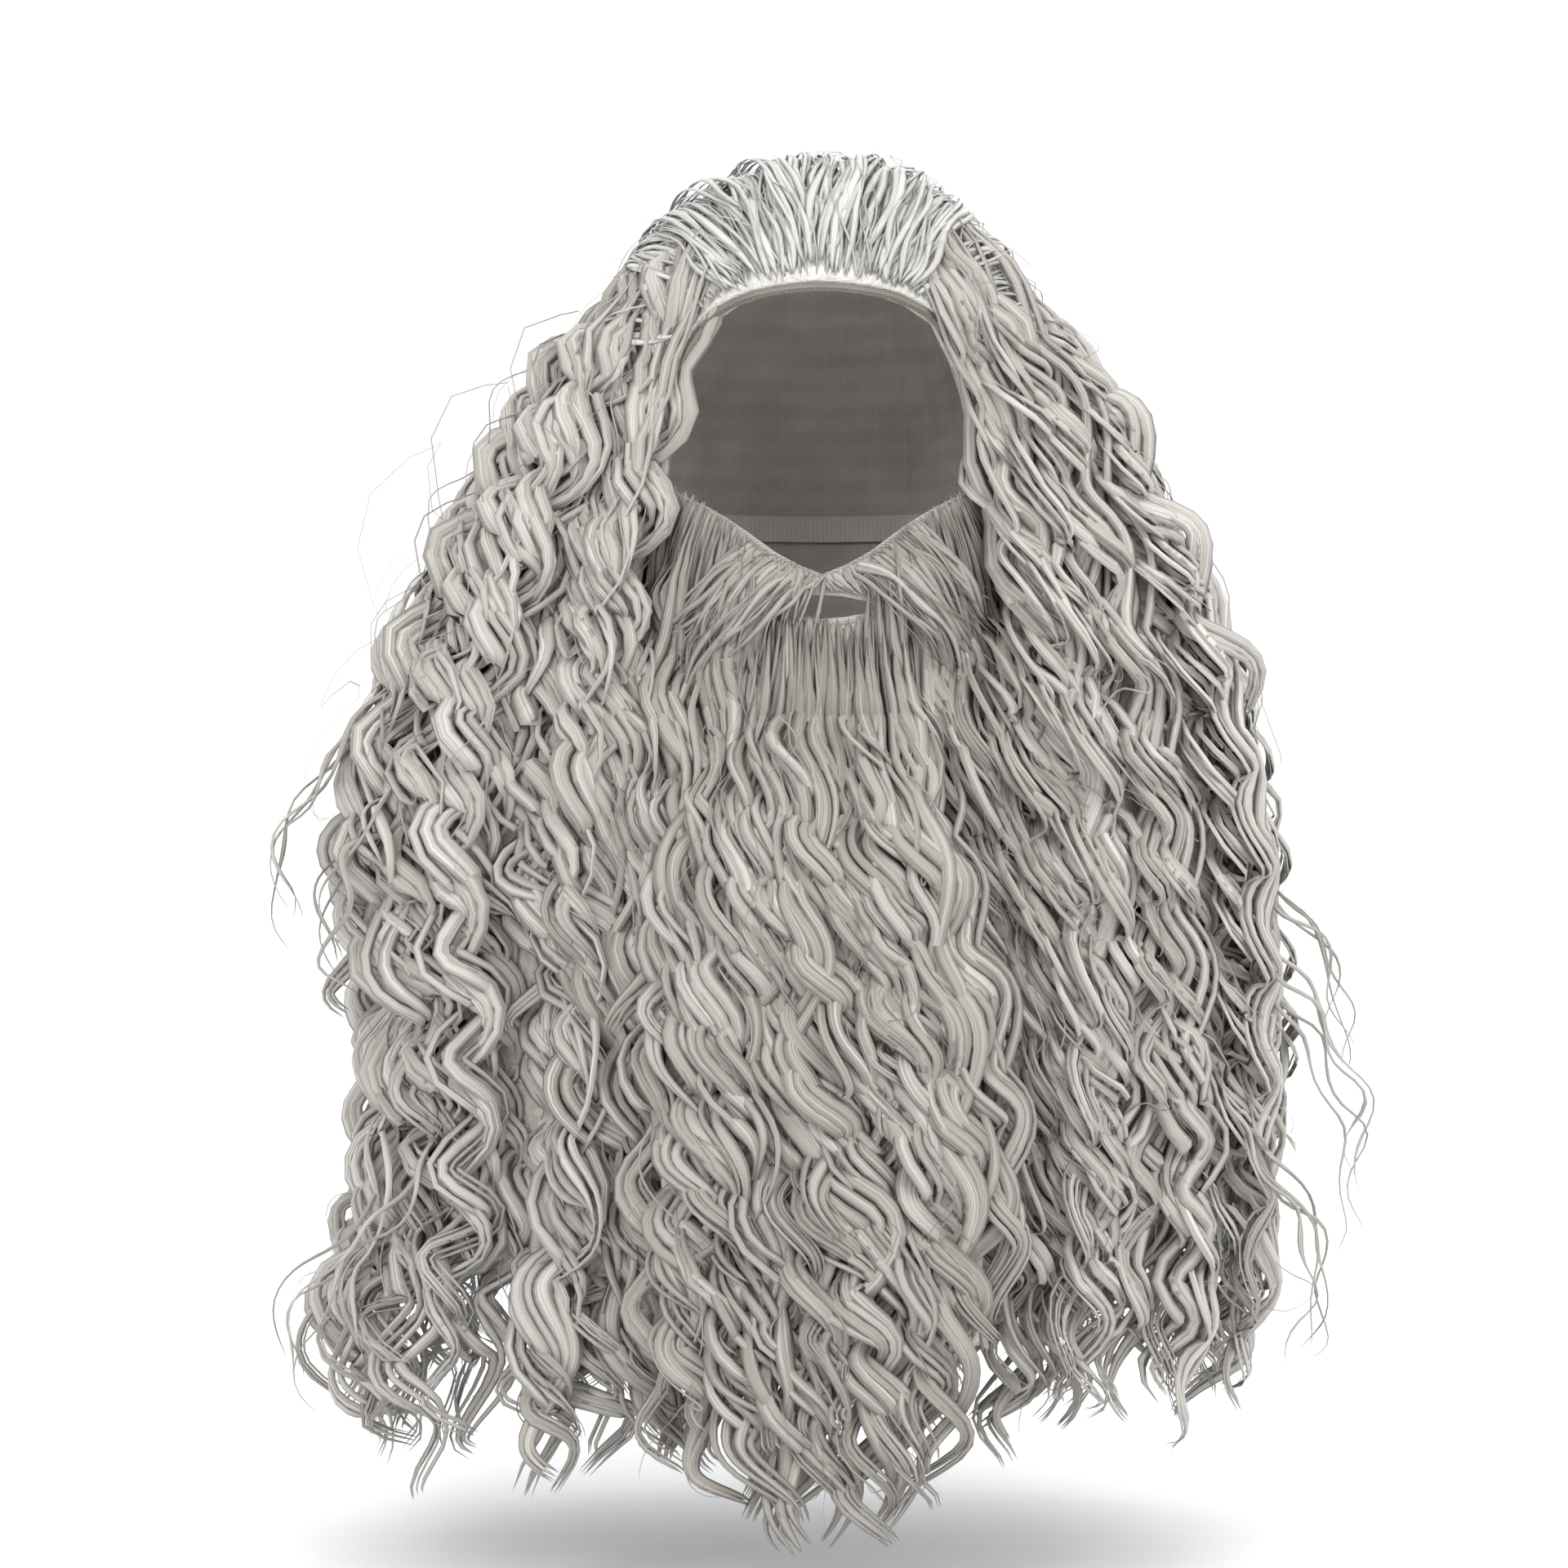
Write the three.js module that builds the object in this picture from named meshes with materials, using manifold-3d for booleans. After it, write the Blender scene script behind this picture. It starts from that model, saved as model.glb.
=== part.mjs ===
// Wig and beard set: a long wavy wig on a sewn cap, and a full beard on a cloth backing with an elastic.
// Lengths in millimetres. The origin is the inside of the cap at the crown, where a head carries the wig.
// +Z is up and the face opening looks towards -Y.
import * as THREE from "three";
import { mergeVertices } from "three/addons/utils/BufferGeometryUtils.js";
import Module from "manifold-3d";

const wasm = await Module();
wasm.setup();

// Sizes of the head space
const headHalfWidth = 76;
const headHalfDepth = 96;
const crownToWidest = 112;
const headHeight = 225;

// Sizes of cap, backing and elastic
const capWall = 2;
const backingWall = 1.5;
const bindingWidth = 6;
const bindingThickness = 2.4;
const strapHeight = 12;
const strapThickness = 1.5;
const strapClearance = 2.3;
const strapEndClearance = 0.4;
const mouthWidth = 52;
const mouthHeight = 10;
const mouthDrop = 179;
const clearance = 0.3;
const lockClearance = 0.8;
const sliver = 0.04;

// Sizes of the hair
const hairAboveCrown = 28;
const hairLength = 612;
const hairHalfWidth = 228;
const hairFront = 150;
const hairBack = 145;
const hairlineThickness = 4;
const crownThickness = 22;
const beardThickness = 13;
const waveLength = 118;
const waveAcross = 10;
const waveOut = 6;
const beardHalfWidth = 112;
const sideSetBack = 32;

// Faces round the head and along it
const headSteps = 32;
const capRows = 5;

// The head below its widest level: shares of its height, half width and half depth
const lowerHead = [
  { down: 0.498, wide: 1.0, front: 1.0, back: 1.0 },
  { down: 0.66, wide: 0.97, front: 1.01, back: 0.95 },
  { down: 0.84, wide: 0.87, front: 1.0, back: 0.8 },
  { down: 0.95, wide: 0.78, front: 0.97, back: 0.7 },
  { down: 1.0, wide: 0.72, front: 0.9, back: 0.68 },
  { down: 1.1, wide: 0.68, front: 0.6, back: 0.67 },
];

// The lower edge of the cap, by the angle from the front: shares of the head's height
const capEdge = [
  { angle: 0, down: 0.194 },
  { angle: 23, down: 0.204 },
  { angle: 40, down: 0.232 },
  { angle: 48, down: 0.268 },
  { angle: 56, down: 0.37 },
  { angle: 63, down: 0.46 },
  { angle: 74, down: 0.545 },
  { angle: 95, down: 0.575 },
  { angle: 125, down: 0.66 },
  { angle: 155, down: 0.79 },
  { angle: 180, down: 0.83 },
];

// The top and bottom edge of the beard's backing, by the angle from the front
const backingEdges = [
  { angle: 0, top: 0.735, bottom: 1.02 },
  { angle: 6, top: 0.722, bottom: 1.02 },
  { angle: 15, top: 0.695, bottom: 1.01 },
  { angle: 30, top: 0.635, bottom: 0.99 },
  { angle: 46, top: 0.59, bottom: 0.94 },
  { angle: 62, top: 0.565, bottom: 0.85 },
  { angle: 76, top: 0.56, bottom: 0.73 },
  { angle: 92, top: 0.585, bottom: 0.66 },
];

// The outer form of the hair: shares of its length, half width, front and back depth
const hairLevels = [
  { down: 0.0, left: 0.1, right: 0.1, front: 0.1, back: 0.1 },
  { down: 0.008, left: 0.2, right: 0.24, front: 0.22, back: 0.27 },
  { down: 0.025, left: 0.29, right: 0.35, front: 0.36, back: 0.45 },
  { down: 0.055, left: 0.365, right: 0.41, front: 0.52, back: 0.6 },
  { down: 0.11, left: 0.49, right: 0.51, front: 0.67, back: 0.76 },
  { down: 0.2, left: 0.62, right: 0.63, front: 0.71, back: 0.87 },
  { down: 0.26, left: 0.71, right: 0.7, front: 0.74, back: 0.9 },
  { down: 0.33, left: 0.81, right: 0.8, front: 0.79, back: 0.93 },
  { down: 0.42, left: 0.91, right: 0.88, front: 0.87, back: 0.96 },
  { down: 0.52, left: 0.95, right: 0.93, front: 0.93, back: 0.97 },
  { down: 0.63, left: 0.9, right: 0.94, front: 0.96, back: 0.97 },
  { down: 0.75, left: 0.9, right: 0.93, front: 0.98, back: 0.98 },
  { down: 0.85, left: 0.96, right: 0.87, front: 1.0, back: 1.0 },
  { down: 0.92, left: 0.9, right: 0.8, front: 1.0, back: 1.0 },
  { down: 1.0, left: 0.84, right: 0.72, front: 1.0, back: 1.0 },
];

// The beard seen from the front: shares of the hair's length and of the beard's half width
const beardLevels = [
  { down: 0.24, wide: 0.66 },
  { down: 0.3, wide: 0.8 },
  { down: 0.4, wide: 0.9 },
  { down: 0.55, wide: 0.98 },
  { down: 0.7, wide: 1.0 },
  { down: 0.85, wide: 0.96 },
  { down: 1.0, wide: 0.7 },
];

const radians = Math.PI / 180;
const mix = (a, b, t) => a + (b - a) * t;
const clamp01 = (t) => Math.min(1, Math.max(0, t));
const ease = (t) => clamp01(t) ** 2 * (3 - 2 * clamp01(t));

// A steady number between 0 and 1 for lock i and property k
function vary(i, k) {
  const s = Math.sin(i * 12.9898 + k * 78.233) * 43758.5453;
  return s - Math.floor(s);
}

// Reads a column of a table between its rows, smoothly and without overshoot
function readTable(rows, key, value, at) {
  const last = rows.length - 1;
  if (at <= rows[0][key]) return rows[0][value];
  if (at >= rows[last][key]) return rows[last][value];
  let i = 0;
  while (rows[i + 1][key] < at) i += 1;
  const slope = (j) => {
    if (j <= 0 || j >= last) return 0;
    const before = (rows[j][value] - rows[j - 1][value]) / (rows[j][key] - rows[j - 1][key]);
    const after = (rows[j + 1][value] - rows[j][value]) / (rows[j + 1][key] - rows[j][key]);
    return before * after <= 0 ? 0 : (2 * before * after) / (before + after);
  };
  const step = rows[i + 1][key] - rows[i][key];
  const t = (at - rows[i][key]) / step;
  const a = rows[i][value];
  const b = rows[i + 1][value];
  const rise = t * t * (3 - 2 * t);
  return (
    a + (b - a) * rise + step * (slope(i) * t * (1 - t) ** 2 - slope(i + 1) * t * t * (1 - t))
  );
}

// A point of the head's surface moved out by an offset: u is the angle from the front, towards +X
function headPoint(u, z, offset = 0) {
  let wide = headHalfWidth + offset;
  let front = headHalfDepth + offset;
  let back = headHalfDepth + offset;
  if (z > -crownToWidest) {
    const up = clamp01((z + crownToWidest) / (crownToWidest + offset));
    const s = Math.sqrt(1 - up * up);
    wide *= s;
    front *= s;
    back *= s;
  } else {
    const down = -z / headHeight;
    wide = headHalfWidth * readTable(lowerHead, "down", "wide", down) + offset;
    front = headHalfDepth * readTable(lowerHead, "down", "front", down) + offset;
    back = headHalfDepth * readTable(lowerHead, "down", "back", down) + offset;
  }
  const c = Math.cos(u);
  return new THREE.Vector3(wide * Math.sin(u), c > 0 ? -front * c : -back * c, z);
}

// A point on the rounded outer form of the hair
function hairPoint(u, z, share = 1, inset = 0) {
  const down = (hairAboveCrown - z) / hairLength;
  const s = Math.sin(u);
  const c = Math.cos(u);
  const side = s < 0 ? "left" : "right";
  const wide = hairHalfWidth * readTable(hairLevels, "down", side, down) - inset;
  const front = hairFront * readTable(hairLevels, "down", "front", down) - inset;
  const back = hairBack * readTable(hairLevels, "down", "back", down) - inset;
  const power = 2 / 2.3;
  const x = Math.sign(s) * Math.abs(s) ** power * wide;
  const y = -Math.sign(c) * Math.abs(c) ** power * (c > 0 ? front : back);
  return new THREE.Vector3(x * share, y * share, z);
}

function angleOf(degrees) {
  const turn = ((((degrees + 180) % 360) + 360) % 360) - 180;
  return Math.abs(turn);
}

const capEdgeZ = (degrees) =>
  -headHeight * readTable(capEdge, "angle", "down", angleOf(degrees));

// Solids for booleans
function solidFrom(positions, triangles) {
  return new wasm.Manifold(
    new wasm.Mesh({
      numProp: 3,
      vertProperties: new Float32Array(positions),
      triVerts: new Uint32Array(triangles),
    }),
  );
}

function outwards(solid) {
  if (solid.volume() >= 0) return solid;
  const mesh = solid.getMesh();
  const turned = Array.from(mesh.triVerts);
  for (let i = 0; i < turned.length; i += 3) {
    [turned[i + 1], turned[i + 2]] = [turned[i + 2], turned[i + 1]];
  }
  return solidFrom(Array.from(mesh.vertProperties), turned);
}

// A slab between two surfaces: pointAt(across, along, layer) gives the corners
// Layer 0 is the inside and layer 1 the outside
function slab(across, along, pointAt, closedRound = false) {
  const positions = [];
  const columns = closedRound ? across : across + 1;
  for (let layer = 0; layer < 2; layer += 1) {
    for (let j = 0; j <= along; j += 1) {
      for (let i = 0; i < columns; i += 1) {
        positions.push(...pointAt(i / across, j / along, layer).toArray());
      }
    }
  }
  const id = (i, j, layer) => (layer * (along + 1) + j) * columns + (i % columns);
  const triangles = [];
  const quad = (a, b, c, d) => triangles.push(a, b, c, a, c, d);
  for (let j = 0; j < along; j += 1) {
    for (let i = 0; i < across; i += 1) {
      quad(id(i, j, 1), id(i, j + 1, 1), id(i + 1, j + 1, 1), id(i + 1, j, 1));
      quad(id(i, j, 0), id(i + 1, j, 0), id(i + 1, j + 1, 0), id(i, j + 1, 0));
    }
    if (!closedRound) {
      quad(id(0, j, 0), id(0, j + 1, 0), id(0, j + 1, 1), id(0, j, 1));
      quad(id(across, j, 0), id(across, j, 1), id(across, j + 1, 1), id(across, j + 1, 0));
    }
  }
  for (let i = 0; i < across; i += 1) {
    quad(id(i, 0, 0), id(i, 0, 1), id(i + 1, 0, 1), id(i + 1, 0, 0));
    quad(id(i, along, 0), id(i + 1, along, 0), id(i + 1, along, 1), id(i, along, 1));
  }
  return { positions, triangles };
}

// A shell whose first row is one point at the crown
function dome(across, along, pointAt) {
  const positions = [];
  for (let layer = 0; layer < 2; layer += 1) {
    positions.push(...pointAt(0, 0, layer).toArray());
    for (let j = 1; j <= along; j += 1) {
      for (let i = 0; i < across; i += 1) {
        positions.push(...pointAt(i / across, j / along, layer).toArray());
      }
    }
  }
  const size = 1 + along * across;
  const id = (i, j, layer) => layer * size + (j === 0 ? 0 : 1 + (j - 1) * across + (i % across));
  const triangles = [];
  for (let j = 0; j < along; j += 1) {
    for (let i = 0; i < across; i += 1) {
      const [a, b, c, d] = [id(i, j, 1), id(i, j + 1, 1), id(i + 1, j + 1, 1), id(i + 1, j, 1)];
      const [e, f, g, h] = [id(i, j, 0), id(i, j + 1, 0), id(i + 1, j + 1, 0), id(i + 1, j, 0)];
      triangles.push(a, b, c, e, g, f);
      if (j > 0) triangles.push(a, c, d, e, h, g);
    }
  }
  for (let i = 0; i < across; i += 1) {
    const [e, h] = [id(i, along, 0), id(i + 1, along, 0)];
    const [a, d] = [id(i, along, 1), id(i + 1, along, 1)];
    triangles.push(e, h, d, e, d, a);
  }
  return { positions, triangles };
}

const solidOfGrid = (grid) => outwards(solidFrom(grid.positions, grid.triangles));

// A tapered lock with pointed ends round a centre line. outAt(t) points away from the body of the hair.
function lockSolid(pathAt, outAt, { rings, sides, width, depth, blunt = 0 }) {
  const positions = [];
  const triangles = [];
  const tangent = (t) => pathAt(Math.min(1, t + 0.01)).sub(pathAt(Math.max(0, t - 0.01))).normalize();
  const start = pathAt(0).clone();
  const tip = pathAt(1).clone();
  positions.push(...start.toArray());
  for (let j = 1; j < rings; j += 1) {
    const t = j / rings;
    const along = tangent(t);
    const side = outAt(t).cross(along).normalize();
    const out = along.clone().cross(side).normalize();
    const swell = Math.sin(Math.PI * Math.min(0.5, mix(blunt, 1, t) * 2.2)) ** 0.6;
    const taper = Math.min(1, (1 - t) * 3.2) ** 0.75;
    const half = (width / 2) * swell * taper * (1 - 0.25 * t);
    const deep = (depth / 2) * swell * taper * (1 - 0.25 * t);
    for (let k = 0; k < sides; k += 1) {
      const a = (k / sides) * 2 * Math.PI;
      const p = pathAt(t);
      p.addScaledVector(out, Math.cos(a) * deep);
      p.addScaledVector(side, Math.sin(a) * half);
      positions.push(...p.toArray());
    }
  }
  positions.push(...tip.toArray());
  const last = 1 + (rings - 1) * sides;
  for (let k = 0; k < sides; k += 1) {
    const n = (k + 1) % sides;
    triangles.push(0, 1 + k, 1 + n);
    triangles.push(last, last - sides + n, last - sides + k);
    for (let j = 0; j < rings - 2; j += 1) {
      const a = 1 + j * sides;
      triangles.push(a + k, a + sides + k, a + sides + n);
      triangles.push(a + k, a + sides + n, a + n);
    }
  }
  return outwards(solidFrom(positions, triangles));
}

// The largest body of what a cutter leaves, without slivers
const largest = (solid) => solid.decompose().sort((a, b) => b.volume() - a.volume())[0];

function mainBody(solid, cutter) {
  const plain = largest(solid.subtract(cutter)).simplify(sliver);
  return largest(welded(plain).simplify(sliver));
}

// A solid whose faces all stand further out, used to cut a neighbour back
function swollen(solid, by) {
  const mesh = solid.getMesh();
  const at = (i) => new THREE.Vector3().fromArray(mesh.vertProperties, 3 * i);
  const sums = Array.from({ length: mesh.vertProperties.length / 3 }, () => new THREE.Vector3());
  const faces = sums.map(() => []);
  for (let i = 0; i < mesh.triVerts.length; i += 3) {
    const ids = [0, 1, 2].map((k) => mesh.triVerts[i + k]);
    const corners = ids.map(at);
    const normal = corners[1].clone().sub(corners[0]).cross(corners[2].clone().sub(corners[0]));
    if (normal.length() < 1e-6) continue;
    normal.normalize();
    ids.forEach((id, k) => {
      const a = corners[(k + 1) % 3].clone().sub(corners[k]);
      const b = corners[(k + 2) % 3].clone().sub(corners[k]);
      sums[id].addScaledVector(normal, a.angleTo(b));
      faces[id].push(normal);
    });
  }
  const moved = sums.flatMap((sum, i) => {
    const out = sum.normalize();
    const least = Math.min(1, ...faces[i].map((normal) => normal.dot(out)));
    return at(i).addScaledVector(out, by / Math.max(0.3, least)).toArray();
  });
  return solidFrom(moved, Array.from(mesh.triVerts));
}

// The same solid with points closer than a micrometre made one, which parts thin slivers from it
function welded(solid) {
  const mesh = solid.getMesh();
  const loose = new THREE.BufferGeometry();
  loose.setAttribute("position", new THREE.BufferAttribute(new Float32Array(mesh.vertProperties), 3));
  loose.setIndex(new THREE.BufferAttribute(new Uint32Array(mesh.triVerts), 1));
  const merged = mergeVertices(loose.toNonIndexed(), 1e-3);
  return solidFrom(Array.from(merged.attributes.position.array), Array.from(merged.index.array));
}

// Cap: rows run from the crown to its edge, the same rows for the hair that lies on it
function capRowZ(degrees, v, offset) {
  const edge = capEdgeZ(degrees);
  const low = Math.acos(clamp01((edge + crownToWidest) / crownToWidest));
  if (edge >= -crownToWidest) {
    return -crownToWidest + (crownToWidest + offset) * Math.cos(low * v);
  }
  const bend = Math.PI / 2 / (Math.PI / 2 + (-crownToWidest - edge) / headHalfDepth);
  if (v <= bend) {
    return -crownToWidest + (crownToWidest + offset) * Math.cos((v / bend) * (Math.PI / 2));
  }
  return mix(-crownToWidest, edge, (v - bend) / (1 - bend));
}

function capShell(inner, outerAt) {
  return solidOfGrid(
    dome(headSteps, capRows, (round, v, layer) => {
      const degrees = round * 360;
      const offset = layer === 0 ? inner : outerAt(degrees, v);
      const z = capRowZ(degrees, v, offset);
      return headPoint(degrees * radians, z, offset);
    }),
  );
}

const capSolid = capShell(0, () => capWall);

// Binding: a strip on the cap along the face opening
const bindingReach = 76;
const bindingSteps = 30;
const bindingSeat = 0.25;
function bindingPoint(across, along, layer) {
  const degrees = mix(-bindingReach, bindingReach, across);
  const step = 1;
  const edge = (d) => headPoint(d * radians, capEdgeZ(d), capWall);
  const run = edge(degrees + step).sub(edge(degrees - step)).normalize();
  const at = edge(degrees);
  const out = new THREE.Vector3(at.x / headHalfWidth ** 2, at.y / headHalfDepth ** 2, 0);
  out.z = (at.z + crownToWidest) / crownToWidest ** 2;
  out.normalize();
  const up = out.clone().cross(run).normalize();
  if (up.z < 0 && Math.abs(degrees) < 40) up.negate();
  if (up.x * Math.sign(degrees) < 0 && Math.abs(degrees) >= 40) up.negate();
  at.addScaledVector(up, mix(-1.5, bindingWidth - 1.5, along));
  at.addScaledVector(out, clearance + bindingSeat + (layer === 0 ? 0 : bindingThickness));
  return at;
}
const bindingRaw = solidOfGrid(slab(bindingSteps, 1, bindingPoint));
const bindingSolid = mainBody(bindingRaw, capShell(-1, () => capWall + clearance));

// A sheet of locks side by side, fused at their roots, each with its own wave and a pointed end.
// spec.pointAt(across, along, out) gives a point of the sheet: across and along run from 0 to 1.
// A lock has three columns of points, a groove and the two shoulders of its ridge.
function lockSheet(spec) {
  const { locks, rows, skip, seed, pointAt, grown } = spec;
  const columns = locks * 3;
  const traits = Array.from({ length: locks }, (_, i) => ({
    end: 1 + spec.endVary * (vary(i, seed) - 0.5),
    phase: spec.apart * (i * 1.1 + 1.6 * vary(i, seed + 1)),
    jut: spec.jut * (vary(i, seed + 2) - 0.5),
  }));
  const at = (i) => traits[Math.min(locks - 1, Math.max(0, i))];
  const place = (c, t, layer) => {
    const lock = Math.floor(c / 3);
    const kind = c % 3;
    const own = kind ? [at(lock)] : [at(lock - 1), at(lock)];
    const ends = own.map((one) => one.end);
    const end = kind ? ends[0] : Math.min(...ends) - spec.tip;
    const along = end * t;
    const wave = (one) => {
      const turn = (2 * Math.PI * spec.length * along) / waveLength + one.phase;
      const size = grown(along);
      return [Math.sin(turn) * spec.sway * size, Math.cos(turn) * spec.bob * size, one.jut * size];
    };
    const [sway, bob, jut] = own
      .map(wave)
      .reduce((sum, w) => sum.map((v, k) => v + w[k] / own.length), [0, 0, 0]);
    const taper = kind ? mix(0.12, 1, ease((1 - t) / (spec.tip * 1.3))) : 1;
    const centre = kind ? lock + 0.5 : lock;
    const off = kind ? (kind === 1 ? -0.24 : 0.24) * taper : 0;
    let across = (centre + off + sway / spec.lockWidth) / locks;
    if (spec.straightEdges && c === 0) across = Math.max(0, across);
    if (spec.straightEdges && c === columns) across = Math.min(1, across);
    const thin = kind ? mix(0.15, 1, ease((1 - t) / (spec.tip * 1.1))) : mix(0.5, 1, ease((1 - t) * 4));
    const high = spec.ridge(across, along) * (kind ? 1 : spec.grooveShare);
    const out = layer ? high * thin : -spec.back * thin;
    return pointAt(across, along, out + (bob + jut) * (kind ? 1 : 0.6), layer);
  };
  const positions = [];
  const triangles = [];
  const quad = (p, q, r, s) => triangles.push(p, q, r, p, r, s);
  for (let j = 0; j <= rows; j += 1) {
    for (let c = 0; c <= columns; c += 1) positions.push(...place(c, j / rows, 1).toArray());
  }
  const backRows = rows / skip;
  for (let j = 0; j <= backRows; j += 1) {
    for (let c = 0; c <= columns; c += 1) positions.push(...place(c, j / backRows, 0).toArray());
  }
  const front = (j, c) => j * (columns + 1) + c;
  const rear = (j, c) => (rows + 1 + j) * (columns + 1) + c;
  for (let c = 0; c < columns; c += 1) {
    for (let j = 0; j < rows; j += 1) {
      quad(front(j, c), front(j + 1, c), front(j + 1, c + 1), front(j, c + 1));
    }
    for (let j = 0; j < backRows; j += 1) {
      quad(rear(j, c), rear(j, c + 1), rear(j + 1, c + 1), rear(j + 1, c));
    }
    quad(rear(0, c), front(0, c), front(0, c + 1), rear(0, c + 1));
    quad(rear(backRows, c), rear(backRows, c + 1), front(rows, c + 1), front(rows, c));
  }
  for (let j = 0; j < backRows; j += 1) {
    triangles.push(rear(j, 0), rear(j + 1, 0), front((j + 1) * skip, 0));
    triangles.push(rear(j, columns), front((j + 1) * skip, columns), rear(j + 1, columns));
    for (let k = 0; k < skip; k += 1) {
      const n = j * skip + k;
      triangles.push(rear(j, 0), front(n + 1, 0), front(n, 0));
      triangles.push(rear(j, columns), front(n, columns), front(n + 1, columns));
    }
  }
  return outwards(solidFrom(positions, triangles));
}

// Crown hair: locks combed from the hairline over the head to the nape and behind the ears
const headCentre = new THREE.Vector3(0, 0, -crownToWidest);

function directionOf(degrees, z) {
  const up = (z + crownToWidest) / crownToWidest;
  const flat = Math.sqrt(Math.max(0, 1 - up * up));
  const u = degrees * radians;
  return new THREE.Vector3(flat * Math.sin(u), -flat * Math.cos(u), up);
}

function crownSpot(direction, offset) {
  if (direction.z < 0) {
    const u = Math.atan2(direction.x, -direction.y);
    return headPoint(u, crownToWidest * (direction.z - 1), offset);
  }
  return new THREE.Vector3(
    direction.x * (headHalfWidth + offset),
    direction.y * (headHalfDepth + offset),
    direction.z * (crownToWidest + offset),
  ).add(headCentre);
}

const combStartReach = 72;
const combEndReach = 62;
const combOver = 82;

function slerp(a, b, t) {
  const angle = Math.acos(Math.min(1, Math.max(-1, a.dot(b))));
  const flat = Math.sin(angle) || 1;
  const sum = a.clone().multiplyScalar(Math.sin((1 - t) * angle) / flat);
  return sum.addScaledVector(b, Math.sin(t * angle) / flat).normalize();
}

function combDirection(across, along) {
  const side = across * 2 - 1;
  const startAngle = side * combStartReach;
  const start = bindingWidth * mix(1, 2.4, ease(Math.abs(side) * 2.4 - 1.2));
  const from = directionOf(startAngle, capEdgeZ(startAngle) + start);
  const endAngle = Math.sign(side || 1) * (180 - combEndReach * Math.abs(side));
  const to = directionOf(endAngle, capEdgeZ(endAngle) + bindingWidth);
  const tilt = side * combOver * radians;
  const over = new THREE.Vector3(Math.sin(tilt), 0.06, Math.cos(tilt));
  return slerp(slerp(from, over, along), slerp(over, to, along), along);
}

const crownSeat = capWall + clearance + 2.2;
const crownLockCount = 10;
const leastThickness = 1.2;
const crownSideShare = 1.3;
const napeLift = 3.2;

// The long flat faces at the back need a little more room over the round of the cap
const crownSeatAt = (along) => crownSeat + napeLift * ease(along * 3 - 1.2);

function crownHair() {
  const sheet = lockSheet(
    {
      locks: crownLockCount,
      rows: 12,
      skip: 1,
      seed: 5,
      length: (headHalfDepth + crownToWidest) * 1.4,
      lockWidth: (headHalfWidth * Math.PI) / crownLockCount,
      tip: 0.12,
      endVary: 0.05,
      jut: 5,
      apart: 1,
      straightEdges: true,
      sway: 3.5,
      bob: 2.5,
      back: 0,
      grooveShare: 0.62,
      grown: (s) => ease(s * 2.5 - 0.25),
      ridge: (across, along) => {
        const side = Math.abs(across * 2 - 1);
        const full = mix(1, crownSideShare, ease(side * 1.5));
        const top = crownThickness * mix(full, 0.6, ease(side * 3 - 2));
        const low = mix(top, top * 0.45, ease((along - 0.55) * 2.6));
        return mix(hairlineThickness, low, ease(along * 3.4));
      },
      pointAt: (across, along, out, layer) => {
        const away = layer ? Math.max(out, leastThickness) : 0;
        return crownSpot(combDirection(across, along), crownSeatAt(along) + away);
      },
    },
  );
  return wasm.Manifold.union([sheet, ...crownTufts.map(tuft)]);
}

// Short tufts that stand up from the crown: place across and along the combed hair, length and rise
const crownTufts = [
  { across: 0.34, along: 0.26, run: 0.22, rise: 12, bend: 0.05 },
  { across: 0.47, along: 0.3, run: 0.24, rise: 14, bend: -0.03 },
  { across: 0.58, along: 0.24, run: 0.26, rise: 13, bend: 0.05 },
  { across: 0.7, along: 0.3, run: 0.24, rise: 12, bend: 0.07 },
];

function tuft(row) {
  const pathAt = (t) => {
    const d = combDirection(row.across + row.bend * t, row.along + row.run * t);
    return crownSpot(d, crownSeat + crownThickness * 0.55 + row.rise * Math.sin(t * 1.9));
  };
  const outAt = (t) => pathAt(t).sub(headCentre).normalize();
  return lockSolid(pathAt, outAt, { rings: 7, sides: 4, width: 20, depth: 11, blunt: 0.2 });
}

// Falls of the wig: they leave the crown and swing out to the outer form of the hair
const fallSwing = 0.12;
const fallRootLift = 18;
const fallThickness = 15;

function fallPoint(degrees, z, startZ, share, offset) {
  const u = degrees * radians;
  const near = headPoint(u, Math.max(z, -headHeight), offset);
  const far = hairPoint(u, z, share, sideSetBack * ease((90 - angleOf(degrees)) / 50));
  near.z = z;
  return near.lerp(far, ease((startZ - z) / (hairLength * fallSwing) + 0.12));
}

// Falls: span of angles at the cap and at the hem, drop of top and hem in shares of the hair's length
const falls = {
  left_hair: {
    side: -1,
    cap: [52, 121],
    hem: [38, 130],
    top: 0.08,
    hemDrop: 0.91,
    locks: 7,
    rows: 18,
    seed: 3,
  },
  right_hair: {
    side: 1,
    cap: [52, 121],
    hem: [38, 130],
    top: 0.08,
    hemDrop: 0.89,
    locks: 7,
    rows: 18,
    seed: 17,
  },
  back_hair: {
    side: 1,
    cap: [122, 238],
    hem: [131, 229],
    top: 0.1,
    hemDrop: 0.88,
    locks: 6,
    rows: 15,
    seed: 31,
  },
};

// Stray locks that stand out of the falls: angle, drop of root and tip,
// reach of the tip over the outer form
const strays = {
  left_hair: [
    { angle: 80, root: 0.34, tip: 0.56, reach: 1.1 },
    { angle: 66, root: 0.68, tip: 0.88, reach: 1.15 },
  ],
  right_hair: [
    { angle: 74, root: 0.54, tip: 0.77, reach: 1.12 },
    { angle: 66, root: 0.68, tip: 0.86, reach: 1.12 },
  ],
  back_hair: [],
};

const levelZ = (down) => hairAboveCrown - down * hairLength;

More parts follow.
